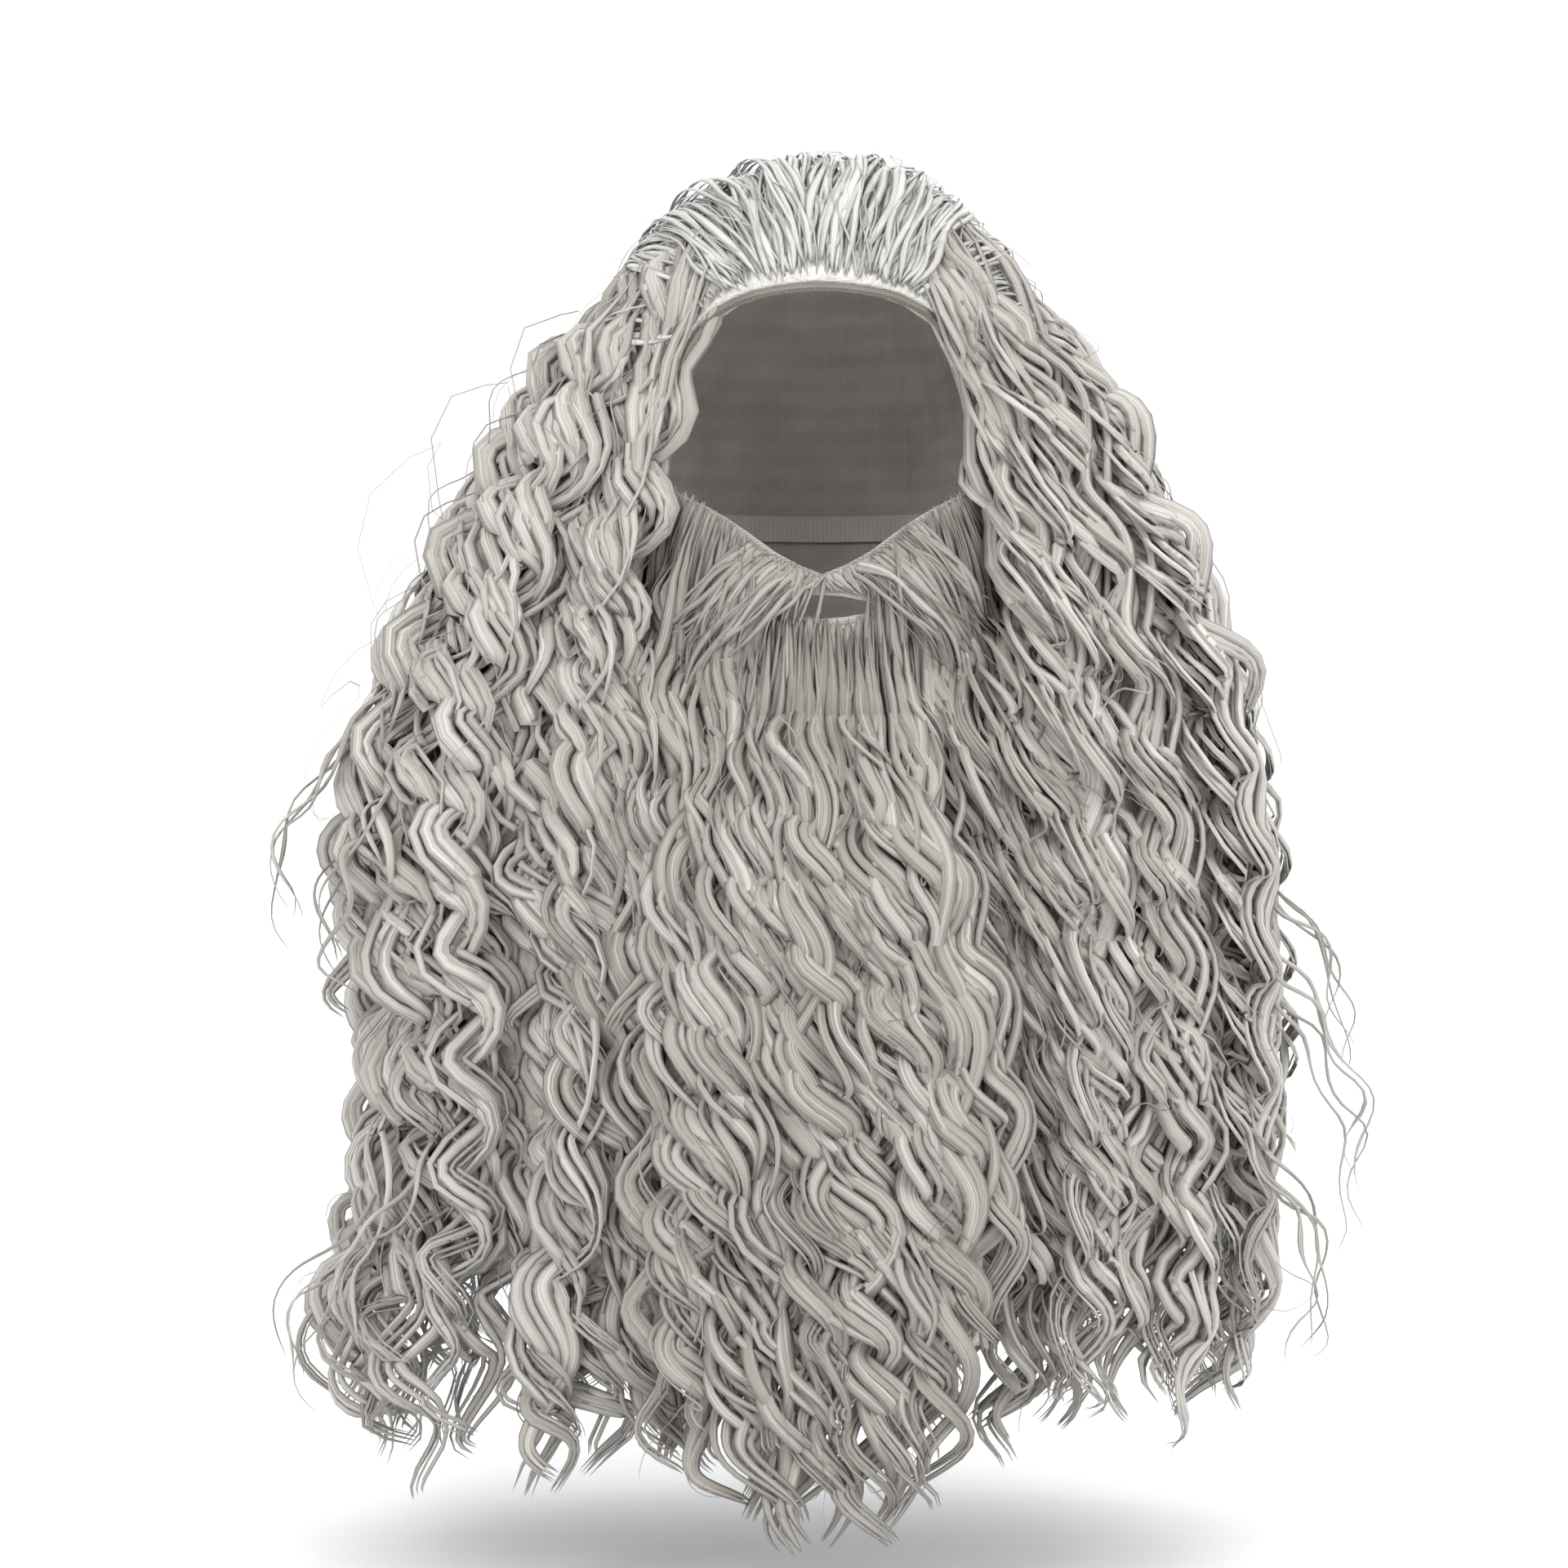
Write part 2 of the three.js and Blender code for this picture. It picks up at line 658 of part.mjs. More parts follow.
function fallHair(name, fall) {
  const startZ = levelZ(fall.top);
  const girth = hairHalfWidth * 0.9 * (fall.hem[1] - fall.hem[0]) * radians;
  const sheet = lockSheet(
    {
      locks: fall.locks,
      rows: fall.rows,
      skip: 3,
      seed: fall.seed,
      length: (fall.hemDrop - fall.top) * hairLength,
      lockWidth: girth / fall.locks,
      tip: 0.17,
      endVary: 0.15,
      jut: 12,
      apart: 1,
      straightEdges: true,
      sway: waveAcross,
      bob: waveOut,
      back: 6,
      grooveShare: 0.1,
      grown: (s) => ease(s * 3.5),
      ridge: (across, along) => mix(3, fallThickness, ease(along * 5)),
      pointAt: (across, along, out) => {
        const z = levelZ(mix(fall.top, fall.hemDrop, along));
        const cap = mix(fall.cap[0], fall.cap[1], across);
        const low = mix(fall.hem[0], fall.hem[1], across);
        const angle = fall.side * mix(cap, low, ease(along * 2.2));
        const p = fallPoint(angle, z, startZ, 0.91, crownSeat + fallRootLift);
        const flat = new THREE.Vector3(p.x, p.y, 0).normalize();
        return p.addScaledVector(flat, out);
      },
    },
  );
  return wasm.Manifold.union([sheet, ...strays[name].map((row, i) => stray(fall, row, i))]);
}

function stray(fall, row, i) {
  const pathAt = (t) => {
    const z = levelZ(mix(row.root, row.tip, t));
    const sway = Math.sin(t * 8 + i * 2) * 3.5 * t;
    const share = mix(0.88, row.reach, ease(t * 1.25)) + 0.012 * Math.sin(t * 9 + i);
    return hairPoint(fall.side * (row.angle + sway) * radians, z, share);
  };
  const outAt = (t) => {
    const p = pathAt(t);
    return new THREE.Vector3(p.x, p.y, 0).normalize();
  };
  return lockSolid(pathAt, outAt, { rings: 9, sides: 4, width: 20, depth: 12, blunt: 0.15 });
}

// Beard backing: cloth over cheeks, lip and chin
const backingReach = 88;
function backingPoint(degrees, v, offset) {
  const turn = angleOf(degrees);
  const top = readTable(backingEdges, "angle", "top", turn);
  const bottom = readTable(backingEdges, "angle", "bottom", turn);
  return headPoint(degrees * radians, -headHeight * mix(top, bottom, v), offset);
}

function mouthCutter() {
  const half = mouthWidth / 2;
  const bow = mouthHeight / 2;
  const shape = new THREE.Shape();
  shape.moveTo(-half, 0);
  shape.quadraticCurveTo(0, bow * 2, half, 0);
  shape.quadraticCurveTo(0, -bow * 2, -half, 0);
  const depth = headHalfDepth;
  const geometry = new THREE.ExtrudeGeometry(shape, { depth, bevelEnabled: false, curveSegments: 6 });
  geometry.rotateX(Math.PI / 2);
  geometry.translate(0, -headHalfDepth / 2, -mouthDrop);
  geometry.deleteAttribute("normal");
  geometry.deleteAttribute("uv");
  const merged = mergeVertices(geometry, 1e-4);
  return outwards(solidFrom(Array.from(merged.attributes.position.array), Array.from(merged.index.array)));
}

const backingSolid = mainBody(
  solidOfGrid(
    slab(22, 3, (across, v, layer) =>
      backingPoint(mix(-backingReach, backingReach, across), v, layer === 0 ? 0 : backingWall),
    ),
  ),
  mouthCutter(),
);

// Beard strap: a plain band round the back of the head, inside the cap
const strapDrop = 0.605;
const strapSolid = solidOfGrid(
  slab(28, 1, (across, v, layer) => {
    const degrees = mix(backingReach - 12, 360 - backingReach + 12, across);
    const z = -headHeight * strapDrop + mix(strapHeight / 2, -strapHeight / 2, v);
    const away = mix(strapEndClearance, strapClearance, ease((angleOf(degrees) - backingReach) / 14));
    return headPoint(degrees * radians, z, -away - (layer === 0 ? strapThickness : 0));
  }),
);

// Beard hair lies in front of the backing and swings out to the front of the hair
function beardPoint(side, z, share, startZ, offset) {
  const down = (hairAboveCrown - z) / hairLength;
  const wide = beardHalfWidth * readTable(beardLevels, "down", "wide", down);
  const front = hairFront * readTable(hairLevels, "down", "front", down);
  const x = side * wide;
  const far = new THREE.Vector3(x, -front * share * (1 - 0.2 * side * side), z);
  const level = Math.max(z, -headHeight);
  const reach = headPoint(Math.PI / 2, level, offset).x;
  const u = Math.asin(Math.min(0.985, Math.abs(x) / reach)) * Math.sign(x);
  const near = headPoint(u, level, offset);
  near.x = x;
  near.z = z;
  return near.lerp(far, ease((startZ - z) / (hairLength * 0.13)));
}

// Beard hair parts: span across in shares, top and hem drop in shares of the hair's length
const beardParts = {
  chin_hair: {
    span: [-0.4, 0.4],
    spread: [-0.62, 0.62],
    share: 0.91,
    top: 0.353,
    hem: 0.93,
    locks: 5,
    rows: 18,
    skip: 3,
    seed: 67,
    apart: 0.8,
  },
  left_cheek_hair: {
    span: [-0.92, -0.47],
    spread: [-0.87, -0.44],
    share: 0.7,
    top: 0.262,
    hem: 0.9,
    locks: 3,
    rows: 12,
    skip: 1,
    seed: 41,
    apart: 0.45,
  },
  right_cheek_hair: {
    span: [0.47, 0.92],
    spread: [0.44, 0.92],
    share: 0.7,
    top: 0.262,
    hem: 0.88,
    locks: 3,
    rows: 12,
    skip: 1,
    seed: 53,
    apart: 0.45,
  },
};

// The top of the beard's hair follows the top edge of the backing, or the mouth slit
function beardTop(part, side) {
  if (part.top > 0.3) return levelZ(part.top);
  const x = Math.min(0.97, (Math.abs(side) * beardHalfWidth * 0.72) / headHalfWidth);
  const degrees = Math.asin(x) / radians;
  return -headHeight * readTable(backingEdges, "angle", "top", degrees) - 3;
}

const beardSeat = backingWall + clearance;
const beardLift = 1.1;
const beardBack = 5;

// The rear of the beard's hair is modelled inside the backing, which then cuts it to its own face
const beardSunk = 4;

// The waves across a lock are kept to this share of its width
const beardWaveShare = 0.19;

function beardHair(part) {
  const low = (part.spread[1] - part.spread[0]) * beardHalfWidth;
  const middle = 1 - Math.abs(part.spread[0] + part.spread[1]) / 2;
  return lockSheet(
    {
      locks: part.locks,
      rows: part.rows,
      skip: part.skip,
      seed: part.seed,
      length: (part.hem - part.top) * hairLength,
      lockWidth: low / part.locks,
      tip: 0.18,
      endVary: 0.14,
      jut: 5,
      apart: part.apart,
      straightEdges: false,
      sway: Math.min(waveAcross * 0.7, (low / part.locks) * beardWaveShare),
      bob: waveOut * 0.8,
      back: 0.9,
      grooveShare: 0.2,
      grown: (s) => ease(s * 2.6 - 0.2),
      ridge: (across, along) => mix(4, beardThickness, ease(along * 4)),
      pointAt: (across, along, out, layer) => {
        const high = mix(part.span[0], part.span[1], across);
        const wide = mix(part.spread[0], part.spread[1], across);
        const side = mix(high, wide, ease(along * 1.6));
        const topZ = beardTop(part, high);
        const hemZ = levelZ(part.hem + 0.03 * middle * (1 - Math.abs(2 * across - 1)));
        const z = mix(topZ, hemZ, along);
        const away = layer ? Math.max(out, leastThickness) : -beardSunk;
        const p = beardPoint(side, z, part.share, topZ - 15, beardSeat + beardLift + away);
        p.y -= (layer ? away : -beardBack) * ease(along * 4 - 0.3);
        return p;
      },
    },
  );
}

// Moustache: strands from under the nose that part and fall to both sides
const moustacheLocks = 3;
const moustacheReach = 44;
const moustacheDrop = 66;
const moustacheLift = 15;
function moustache() {
  const solids = [];
  const noseZ = -headHeight * backingEdges[0].top - 2;
  for (const hand of [-1, 1]) {
    for (let i = 0; i < moustacheLocks; i += 1) {
      const place = (i + 0.5) / moustacheLocks;
      const pathAt = (t) => {
        const sweep = Math.sin(Math.min(1, t * 1.1) * 1.45);
        const x = hand * (mix(2, 15, place) + moustacheReach * mix(0.5, 1, place) * sweep);
        const fall = moustacheDrop * mix(1, 0.8, place) * t ** 1.5;
        const z = noseZ + mix(-3, 4, place) - fall;
        const u = Math.asin(Math.min(0.99, Math.abs(x) / (headHalfWidth + moustacheLift))) * Math.sign(x);
        const lift = moustacheLift * mix(0.4, 1, ease(t * 2.2)) + 2.5 * Math.sin(t * 8 + i);
        const p = headPoint(u, z, beardSeat + lift);
        p.x = x;
        return p;
      };
      const outAt = () => new THREE.Vector3(hand * 0.35, -1, 0.1).normalize();
      const size = { rings: 8, sides: 4, blunt: 0.25, width: 19, depth: 10 };
      solids.push(lockSolid(pathAt, outAt, size));
    }
  }
  const bridge = solidOfGrid(
    slab(4, 1, (across, v, layer) => {
      const degrees = mix(-13, 13, across);
      const z = mix(noseZ + 1, -mouthDrop + mouthHeight / 2 + 1, v);
      return headPoint(degrees * radians, z, beardSeat + (layer === 0 ? 0 : 6));
    }),
  );
  return wasm.Manifold.union([bridge, ...solids]);
}

// Each piece in turn gives way to those before it by the clearance
const backingGrown = solidOfGrid(
  slab(22, 3, (across, v, layer) => {
    const reach = backingReach + clearance;
    const z = mix(-0.004, 1.004, v);
    return backingPoint(mix(-reach, reach, across), z, layer === 0 ? -9 : backingWall + clearance);
  }),
);
const capGrown = capShell(-6, () => capWall + clearance);
const bindingGrown = solidOfGrid(
  slab(bindingSteps, 1, (across, along, layer) => {
    const p = bindingPoint(across, along, layer);
    const grown = clearance * (layer === 0 ? -1 : 1);
    const out = p.clone().sub(headCentre).normalize();
    return p.addScaledVector(out, grown);
  }),
);

const made = {};
let cutter = wasm.Manifold.union([capGrown, bindingGrown, backingGrown]);
let near = wasm.Manifold.union([capSolid, bindingSolid, backingSolid]);

function giveWay(name, solid) {
  made[name] = mainBody(solid, cutter);
  if (made[name].intersect(near).volume() > 0) made[name] = largest(welded(made[name].subtract(near)));
  near = wasm.Manifold.union([near, swollen(made[name], clearance / 3), made[name]]);
  cutter = wasm.Manifold.union([cutter, swollen(made[name], lockClearance), made[name]]);
}

giveWay("crown_hair", crownHair());
giveWay("moustache_hair", moustache());
for (const [name, part] of Object.entries(beardParts)) giveWay(name, beardHair(part));
for (const [name, fall] of Object.entries(falls)) giveWay(name, fallHair(name, fall));

// Materials
const silverHair = new THREE.MeshStandardMaterial({ color: 0xc8c5c0, roughness: 0.55, metalness: 0 });
const lightHair = new THREE.MeshStandardMaterial({ color: 0xd3d0ca, roughness: 0.55, metalness: 0 });
const beardFibre = new THREE.MeshStandardMaterial({ color: 0xc0bcb5, roughness: 0.55, metalness: 0 });
const capCloth = new THREE.MeshStandardMaterial({ color: 0xb9b3a8, roughness: 0.9, metalness: 0 });
const bindingCloth = new THREE.MeshStandardMaterial({ color: 0x9a948a, roughness: 0.9, metalness: 0 });
const elastic = new THREE.MeshStandardMaterial({ color: 0xd8d4cc, roughness: 0.8, metalness: 0 });

const set = new THREE.Group();
set.name = "wig_and_beard_set";

function addPiece(name, solid, material) {
  const mesh = solid.getMesh();
  const geometry = new THREE.BufferGeometry();
  geometry.setAttribute("position", new THREE.BufferAttribute(new Float32Array(mesh.vertProperties), 3));
  geometry.setIndex(new THREE.BufferAttribute(new Uint32Array(mesh.triVerts), 1));
  geometry.computeVertexNormals();
  const piece = new THREE.Mesh(geometry, material);
  piece.name = name;
  set.add(piece);
}

addPiece("wig_cap", capSolid, capCloth);
addPiece("front_binding", bindingSolid, bindingCloth);
addPiece("crown_hair", made.crown_hair, lightHair);
addPiece("left_hair", made.left_hair, silverHair);
addPiece("right_hair", made.right_hair, silverHair);
addPiece("back_hair", made.back_hair, silverHair);
addPiece("beard_backing", backingSolid, capCloth);
addPiece("moustache_hair", made.moustache_hair, beardFibre);
addPiece("left_cheek_hair", made.left_cheek_hair, beardFibre);
addPiece("right_cheek_hair", made.right_cheek_hair, beardFibre);
addPiece("chin_hair", made.chin_hair, beardFibre);
addPiece("beard_strap", strapSolid, elastic);

export default set;
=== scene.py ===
import math

import bpy
import numpy as np
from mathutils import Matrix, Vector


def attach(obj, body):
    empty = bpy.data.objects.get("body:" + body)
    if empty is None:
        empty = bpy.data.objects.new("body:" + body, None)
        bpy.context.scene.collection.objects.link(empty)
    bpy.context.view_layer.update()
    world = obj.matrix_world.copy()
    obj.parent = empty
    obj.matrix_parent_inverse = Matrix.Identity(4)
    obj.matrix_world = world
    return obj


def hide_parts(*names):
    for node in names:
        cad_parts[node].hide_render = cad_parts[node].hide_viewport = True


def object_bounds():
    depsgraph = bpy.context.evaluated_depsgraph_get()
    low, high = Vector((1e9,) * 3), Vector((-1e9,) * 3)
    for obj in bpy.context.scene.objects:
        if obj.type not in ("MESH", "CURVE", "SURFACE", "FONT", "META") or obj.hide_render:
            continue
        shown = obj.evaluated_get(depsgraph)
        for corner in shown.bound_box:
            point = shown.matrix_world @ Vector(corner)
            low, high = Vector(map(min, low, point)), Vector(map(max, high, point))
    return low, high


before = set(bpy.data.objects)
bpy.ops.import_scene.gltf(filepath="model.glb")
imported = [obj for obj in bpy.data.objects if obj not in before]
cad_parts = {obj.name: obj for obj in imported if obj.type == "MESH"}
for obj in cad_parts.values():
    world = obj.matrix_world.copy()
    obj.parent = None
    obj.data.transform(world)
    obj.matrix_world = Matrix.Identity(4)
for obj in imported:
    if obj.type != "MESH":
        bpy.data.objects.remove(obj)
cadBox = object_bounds()
bpy.ops.object.select_all(action="DESELECT")
scene = bpy.context.scene
print("frame loaded")

# The space inside the cap and the outer form of the hair, in millimetres, as the solids have them
head = {"halfWidth": 76, "halfDepth": 96, "crownToWidest": 112, "height": 225}
hair = {
    "aboveCrown": 28,
    "length": 612,
    "halfWidth": 228,
    "front": 150,
    "back": 145,
    "beardHalfWidth": 112,
}
seat = {"crown": 4.5, "beard": 2.9, "bindingWidth": 6, "sideSetBack": 32}

lowerHead = {
    "down": [0.498, 0.66, 0.84, 0.95, 1.0, 1.1],
    "wide": [1.0, 0.97, 0.87, 0.78, 0.72, 0.68],
    "front": [1.0, 1.01, 1.0, 0.97, 0.9, 0.6],
    "back": [1.0, 0.95, 0.8, 0.7, 0.68, 0.67],
}
capEdge = {
    "angle": [0, 23, 40, 48, 56, 63, 74, 95, 125, 155, 180],
    "down": [0.194, 0.204, 0.232, 0.268, 0.37, 0.46, 0.545, 0.575, 0.66, 0.79, 0.83],
}
backingEdges = {
    "angle": [0, 6, 15, 30, 46, 62, 76, 92],
    "top": [0.735, 0.722, 0.695, 0.635, 0.59, 0.565, 0.56, 0.585],
}
hairLevels = {
    "down": [0.0, 0.008, 0.025, 0.055, 0.11, 0.2, 0.26, 0.33, 0.42, 0.52, 0.63, 0.75, 0.85, 0.92, 1.0],
    "left": [0.1, 0.2, 0.29, 0.365, 0.49, 0.62, 0.71, 0.81, 0.91, 0.95, 0.9, 0.9, 0.96, 0.9, 0.84],
    "right": [0.1, 0.24, 0.35, 0.41, 0.51, 0.63, 0.7, 0.8, 0.88, 0.93, 0.94, 0.93, 0.87, 0.8, 0.72],
    "front": [0.1, 0.22, 0.36, 0.52, 0.67, 0.71, 0.74, 0.79, 0.87, 0.93, 0.96, 0.98, 1.0, 1.0, 1.0],
    "back": [0.1, 0.27, 0.45, 0.6, 0.76, 0.87, 0.9, 0.93, 0.96, 0.97, 0.97, 0.98, 1.0, 1.0, 1.0],
}
beardLevels = {
    "down": [0.24, 0.3, 0.4, 0.55, 0.7, 0.85, 1.0],
    "wide": [0.66, 0.8, 0.9, 0.98, 1.0, 0.96, 0.7],
}


def mix(a, b, t):
    return a + (b - a) * t


def ease(t):
    t = np.clip(t, 0, 1)
    return t * t * (3 - 2 * t)


def unit(v):
    return v / np.maximum(np.linalg.norm(v, axis=-1, keepdims=True), 1e-9)


def read(table, key, value, at):  # smooth between the rows, without overshoot
    x, y = np.array(table[key], float), np.array(table[value], float)
    at = np.clip(np.asarray(at, float), x[0], x[-1])
    rate = np.diff(y) / np.diff(x)
    both = rate[:-1] * rate[1:]
    slope = np.zeros(len(x))
    slope[1:-1] = np.where(both > 0, 2 * both / np.where(both > 0, rate[:-1] + rate[1:], 1), 0)
    i = np.clip(np.searchsorted(x, at) - 1, 0, len(x) - 2)
    step = x[i + 1] - x[i]
    t = (at - x[i]) / step
    rise = t * t * (3 - 2 * t)
    bend = slope[i] * t * (1 - t) ** 2 - slope[i + 1] * t * t * (1 - t)
    return y[i] + (y[i + 1] - y[i]) * rise + step * bend


def points(x, y, z):
    return np.stack(np.broadcast_arrays(x, y, z), axis=-1).astype(float)


def headPoint(u, z, offset):  # u is the angle from the front, towards +X
    low = -z / head["height"]
    up = np.clip((z + head["crownToWidest"]) / (head["crownToWidest"] + offset), 0, 1)
    cap = np.sqrt(1 - up * up)
    above = z > -head["crownToWidest"]
    size = {}
    for name, key in [("wide", "halfWidth"), ("front", "halfDepth"), ("back", "halfDepth")]:
        below = head[key] * read(lowerHead, "down", name, low) + offset
        size[name] = np.where(above, (head[key] + offset) * cap, below)
    c = np.cos(u)
    return points(size["wide"] * np.sin(u), np.where(c > 0, -size["front"] * c, -size["back"] * c), z)


def hairPoint(u, z, share, inset):
    down = (hair["aboveCrown"] - z) / hair["length"]
    s, c = np.sin(u), np.cos(u)
    left, right = (read(hairLevels, "down", hand, down) for hand in ("left", "right"))
    side = np.where(s < 0, left, right)
    front = hair["front"] * read(hairLevels, "down", "front", down) - inset
    back = hair["back"] * read(hairLevels, "down", "back", down) - inset
    x = np.sign(s) * np.abs(s) ** (2 / 2.3) * (hair["halfWidth"] * side - inset)
    y = -np.sign(c) * np.abs(c) ** (2 / 2.3) * np.where(c > 0, front, back)
    return points(x * share, y * share, z)


def levelZ(down):
    return hair["aboveCrown"] - down * hair["length"]


def outward(p):  # level direction away from the middle of the cap
    return unit(p * np.array([1, 1, 0]))


# Locks: each is a closed ribbon with pointed ends that follows a waved path
def along(path):
    step = np.linalg.norm(np.diff(path, axis=1), axis=2)
    return np.concatenate([np.zeros((len(path), 1)), np.cumsum(step, axis=1)], axis=1)


def waved(base, out, look, rng):
    n = len(base)
    run = along(base)
    t = run / run[:, -1:]
    tangent = unit(np.gradient(base, axis=1))
    side = unit(np.cross(out, tangent))
    up = np.cross(tangent, side)
    period = look["period"] * rng.uniform(0.78, 1.25, (n, 1))
    place = base[:, :1, 0] * 0.021 + base[:, :1, 1] * 0.027 + base[:, :1, 2] * 0.018
    step = 3.2 * np.sin(place * 2.3 + 1.0) + rng.normal(0, look.get("loose", 0.9), (n, 1))
    turn = 2 * math.pi * (run / period) + step
    turn = turn + 0.7 * np.sin(run / (period * 1.7) + rng.uniform(0, 6, (n, 1)))
    size = rng.uniform(0.65, 1.3, (n, 1)) * ease(run / look["grow"] + look.get("early", 0))
    size = size * (1 + look.get("flick", 0) * t**3)
    if "held" in look:
        size = size * mix(look["held"], 1, ease((run - 110) / 70))
    wide = np.sin(turn) + 0.1 * np.sin(2 * turn + 0.6)
    roll = rng.normal(0, look.get("roll", 0), (n, 1, 1))
    side, up = side * np.cos(roll) + up * np.sin(roll), up * np.cos(roll) - side * np.sin(roll)
    path = base + side * (look["sway"] * size * wide)[..., None]
    path = path + up * (look["bob"] * size * np.cos(turn + 0.3))[..., None]
    drift = rng.normal(0, look.get("drift", 0), (n, 1)) * t**1.5
    path = path + side * drift[..., None]
    face = unit(up + side * (look.get("twist", 0) * np.cos(turn) * np.clip(size, 0, 1))[..., None])
    return path, face


def profile(n, rows, rng, root=0.12, tip=0.35):
    t = np.linspace(0, 1, rows)[None, :]
    swell = ease(t / root) * np.clip((1 - t) / tip, 0, 1) ** 0.8
    pinch = 1 + 0.22 * np.sin(t * rng.uniform(9, 22, (n, 1)) + rng.uniform(0, 6, (n, 1)))
    return 0.12 + 0.88 * swell * pinch


def ribbons(path, face, each, girth, rng):  # side by side, they share the waves of one lock
    n, rows = path.shape[:2]
    t = np.linspace(0, 1, rows)[None, :]
    full = np.repeat(girth * rng.uniform(0.55, 1.35, (n, 1)), each, axis=0)
    path, face = np.repeat(path, each, axis=0), np.repeat(face, each, axis=0)
    side = unit(np.cross(face, unit(np.gradient(path, axis=1))))
    place = np.tile(np.linspace(-1, 1, each), n)[:, None] + rng.normal(0, 0.16, (n * each, 1))
    drift = 0.3 * np.sin(t * rng.uniform(4, 14, (n * each, 1)) + rng.uniform(0, 6, (n * each, 1)))
    rise = 0.3 * np.sin(t * rng.uniform(4, 12, (n * each, 1)) + rng.uniform(0, 6, (n * each, 1)))
    close = mix(1, 0.35, ease((t - 0.5) / 0.5)) * mix(0.6, 1, ease(t * 4))
    across = (place + drift) * full * close
    lift = (0.45 - 0.4 * place**2 + rise) * full * 0.45 * close
    return path + side * across[..., None] + face * lift[..., None], face


def settled(path, face, rows):  # fewer points, closer together where a strand bends
    step = np.diff(path, axis=1)
    length = np.linalg.norm(step, axis=2)
    way = step / np.maximum(length, 1e-9)[..., None]
    bend = np.zeros_like(length)
    bend[:, 1:] = np.linalg.norm(np.diff(way, axis=1), axis=2)
    bend[:, :-1] = (bend[:, :-1] + bend[:, 1:]) / 2
    weight = length / length.sum(1, keepdims=True)
    weight = weight + 1.6 * bend / np.maximum(bend.sum(1, keepdims=True), 1e-6)
    total = np.concatenate([np.zeros((len(path), 1)), np.cumsum(weight, axis=1)], axis=1)
    pick = np.arange(len(path))[:, None]
    total = total / total[:, -1:] + 2 * pick
    want = np.linspace(0, 1, rows)[None, :] + 2 * pick
    at = np.searchsorted(total.reshape(-1), want.reshape(-1), side="right") - 1
    at = np.clip(at.reshape(want.shape) - path.shape[1] * pick, 0, path.shape[1] - 2)
    room = np.maximum(total[pick, at + 1] - total[pick, at], 1e-9)
    part = ((want - total[pick, at]) / room).clip(0, 1)[..., None]
    path = path[pick, at] * (1 - part) + path[pick, at + 1] * part
    return path, unit(face[pick, at] * (1 - part) + face[pick, at + 1] * part)


# Finer strands that leave a lock and come back to it
def followers(paths, faces, count, rows, look, rng):
    parent = rng.integers(0, len(paths), count)
    reach = rng.uniform(look["reach"][0], look["reach"][1], (count, 1))
    start = rng.uniform(0, 1, (count, 1)) * (1 - reach)
    at = (start + reach * np.linspace(0, 1, rows)[None, :]) * (paths.shape[1] - 1)
    low = np.clip(np.floor(at).astype(int), 0, paths.shape[1] - 2)
    part = (at - low)[..., None]
    pick = parent[:, None]
    base = paths[pick, low] * (1 - part) + paths[pick, low + 1] * part
    face = unit(faces[pick, low] * (1 - part) + faces[pick, low + 1] * part)
    tangent = unit(np.gradient(base, axis=1))
    side = unit(np.cross(face, tangent))
    t = np.linspace(0, 1, rows)[None, :, None]
    shift = rng.normal(0, look["apart"], (count, 1, 1)) * (0.5 + t)
    lift = rng.normal(look["lift"], look["apart"] * 0.6, (count, 1, 1))
    lift = lift * np.sin(math.pi * np.clip(t * 1.15, 0, 1))
    own = np.sin(t * rng.uniform(3, 9, (count, 1, 1)) + rng.uniform(0, 6, (count, 1, 1)))
    swirl = np.cos(t * rng.uniform(3, 9, (count, 1, 1)) + rng.uniform(0, 6, (count, 1, 1)))
    base = base + side * (shift + own * look["own"] * t) + face * (lift + swirl * look["own"] * 0.7 * t)
    return base, face


outlineEnds = {"front": 160, "back": 149, "soft": 8}


def kept(path):  # loose strands turn back before they leave the outline of the hair
    y = path[..., 1]
    ahead = np.tanh(np.maximum(-y - outlineEnds["front"], 0) / outlineEnds["soft"]) * outlineEnds["soft"]
    behind = np.tanh(np.maximum(y - outlineEnds["back"], 0) / outlineEnds["soft"]) * outlineEnds["soft"]
    path = path.copy()
    path[..., 1] = np.clip(y, -outlineEnds["front"], outlineEnds["back"]) - ahead + behind
    return path


# Tones run from dark to light, half of them by the lock, and are darker towards the root: painted shade at
# the roots
def bundle(path, face, width, depth, sides, tones, rng, each=1, shade=0.12):
    path = kept(path)
    n, rows = path.shape[:2]
    t = np.linspace(0, 1, rows)[None, :]
    own = rng.uniform(tones[0], tones[1], (n, 1))
    if each > 1:
        own = (own + np.repeat(rng.uniform(tones[0], tones[1], (n // each, 1)), each, axis=0)) / 2
    slow = 0.09 * np.sin(t * rng.uniform(6, 20, (n, 1)) + rng.uniform(0, 6, (n, 1)))
    # painted shade: near the root the tone is lowered by the shade amount
    tone = own + slow - shade * (1 - ease(t * 4))
    return {"path": path, "face": face, "width": width, "depth": depth, "sides": sides, "tone": tone}


def thinBundle(path, face, ends, size, flat, tones, rng, each=1, shade=0.12):
    n, rows = path.shape[:2]
    width = profile(n, rows, rng, ends[0], ends[1]) * rng.uniform(size[0], size[1], (n, 1))
    return bundle(path, face, width, width * flat, 3, tones, rng, each, shade)


def lockBundle(path, face, each, rows, look, root, rng):  # each lock is a few ribbons side by side
    path, face = settled(*ribbons(path, face, each, look["girth"], rng), rows)
    shape = profile(len(path), rows, rng, root, 0.35)
    width = shape * look["ribbon"] * rng.uniform(0.5, 1.3, (len(path), 1))
    return bundle(path, face, width, width * look["flat"], 3, (0.15, 1.0), rng, each, look["shade"])


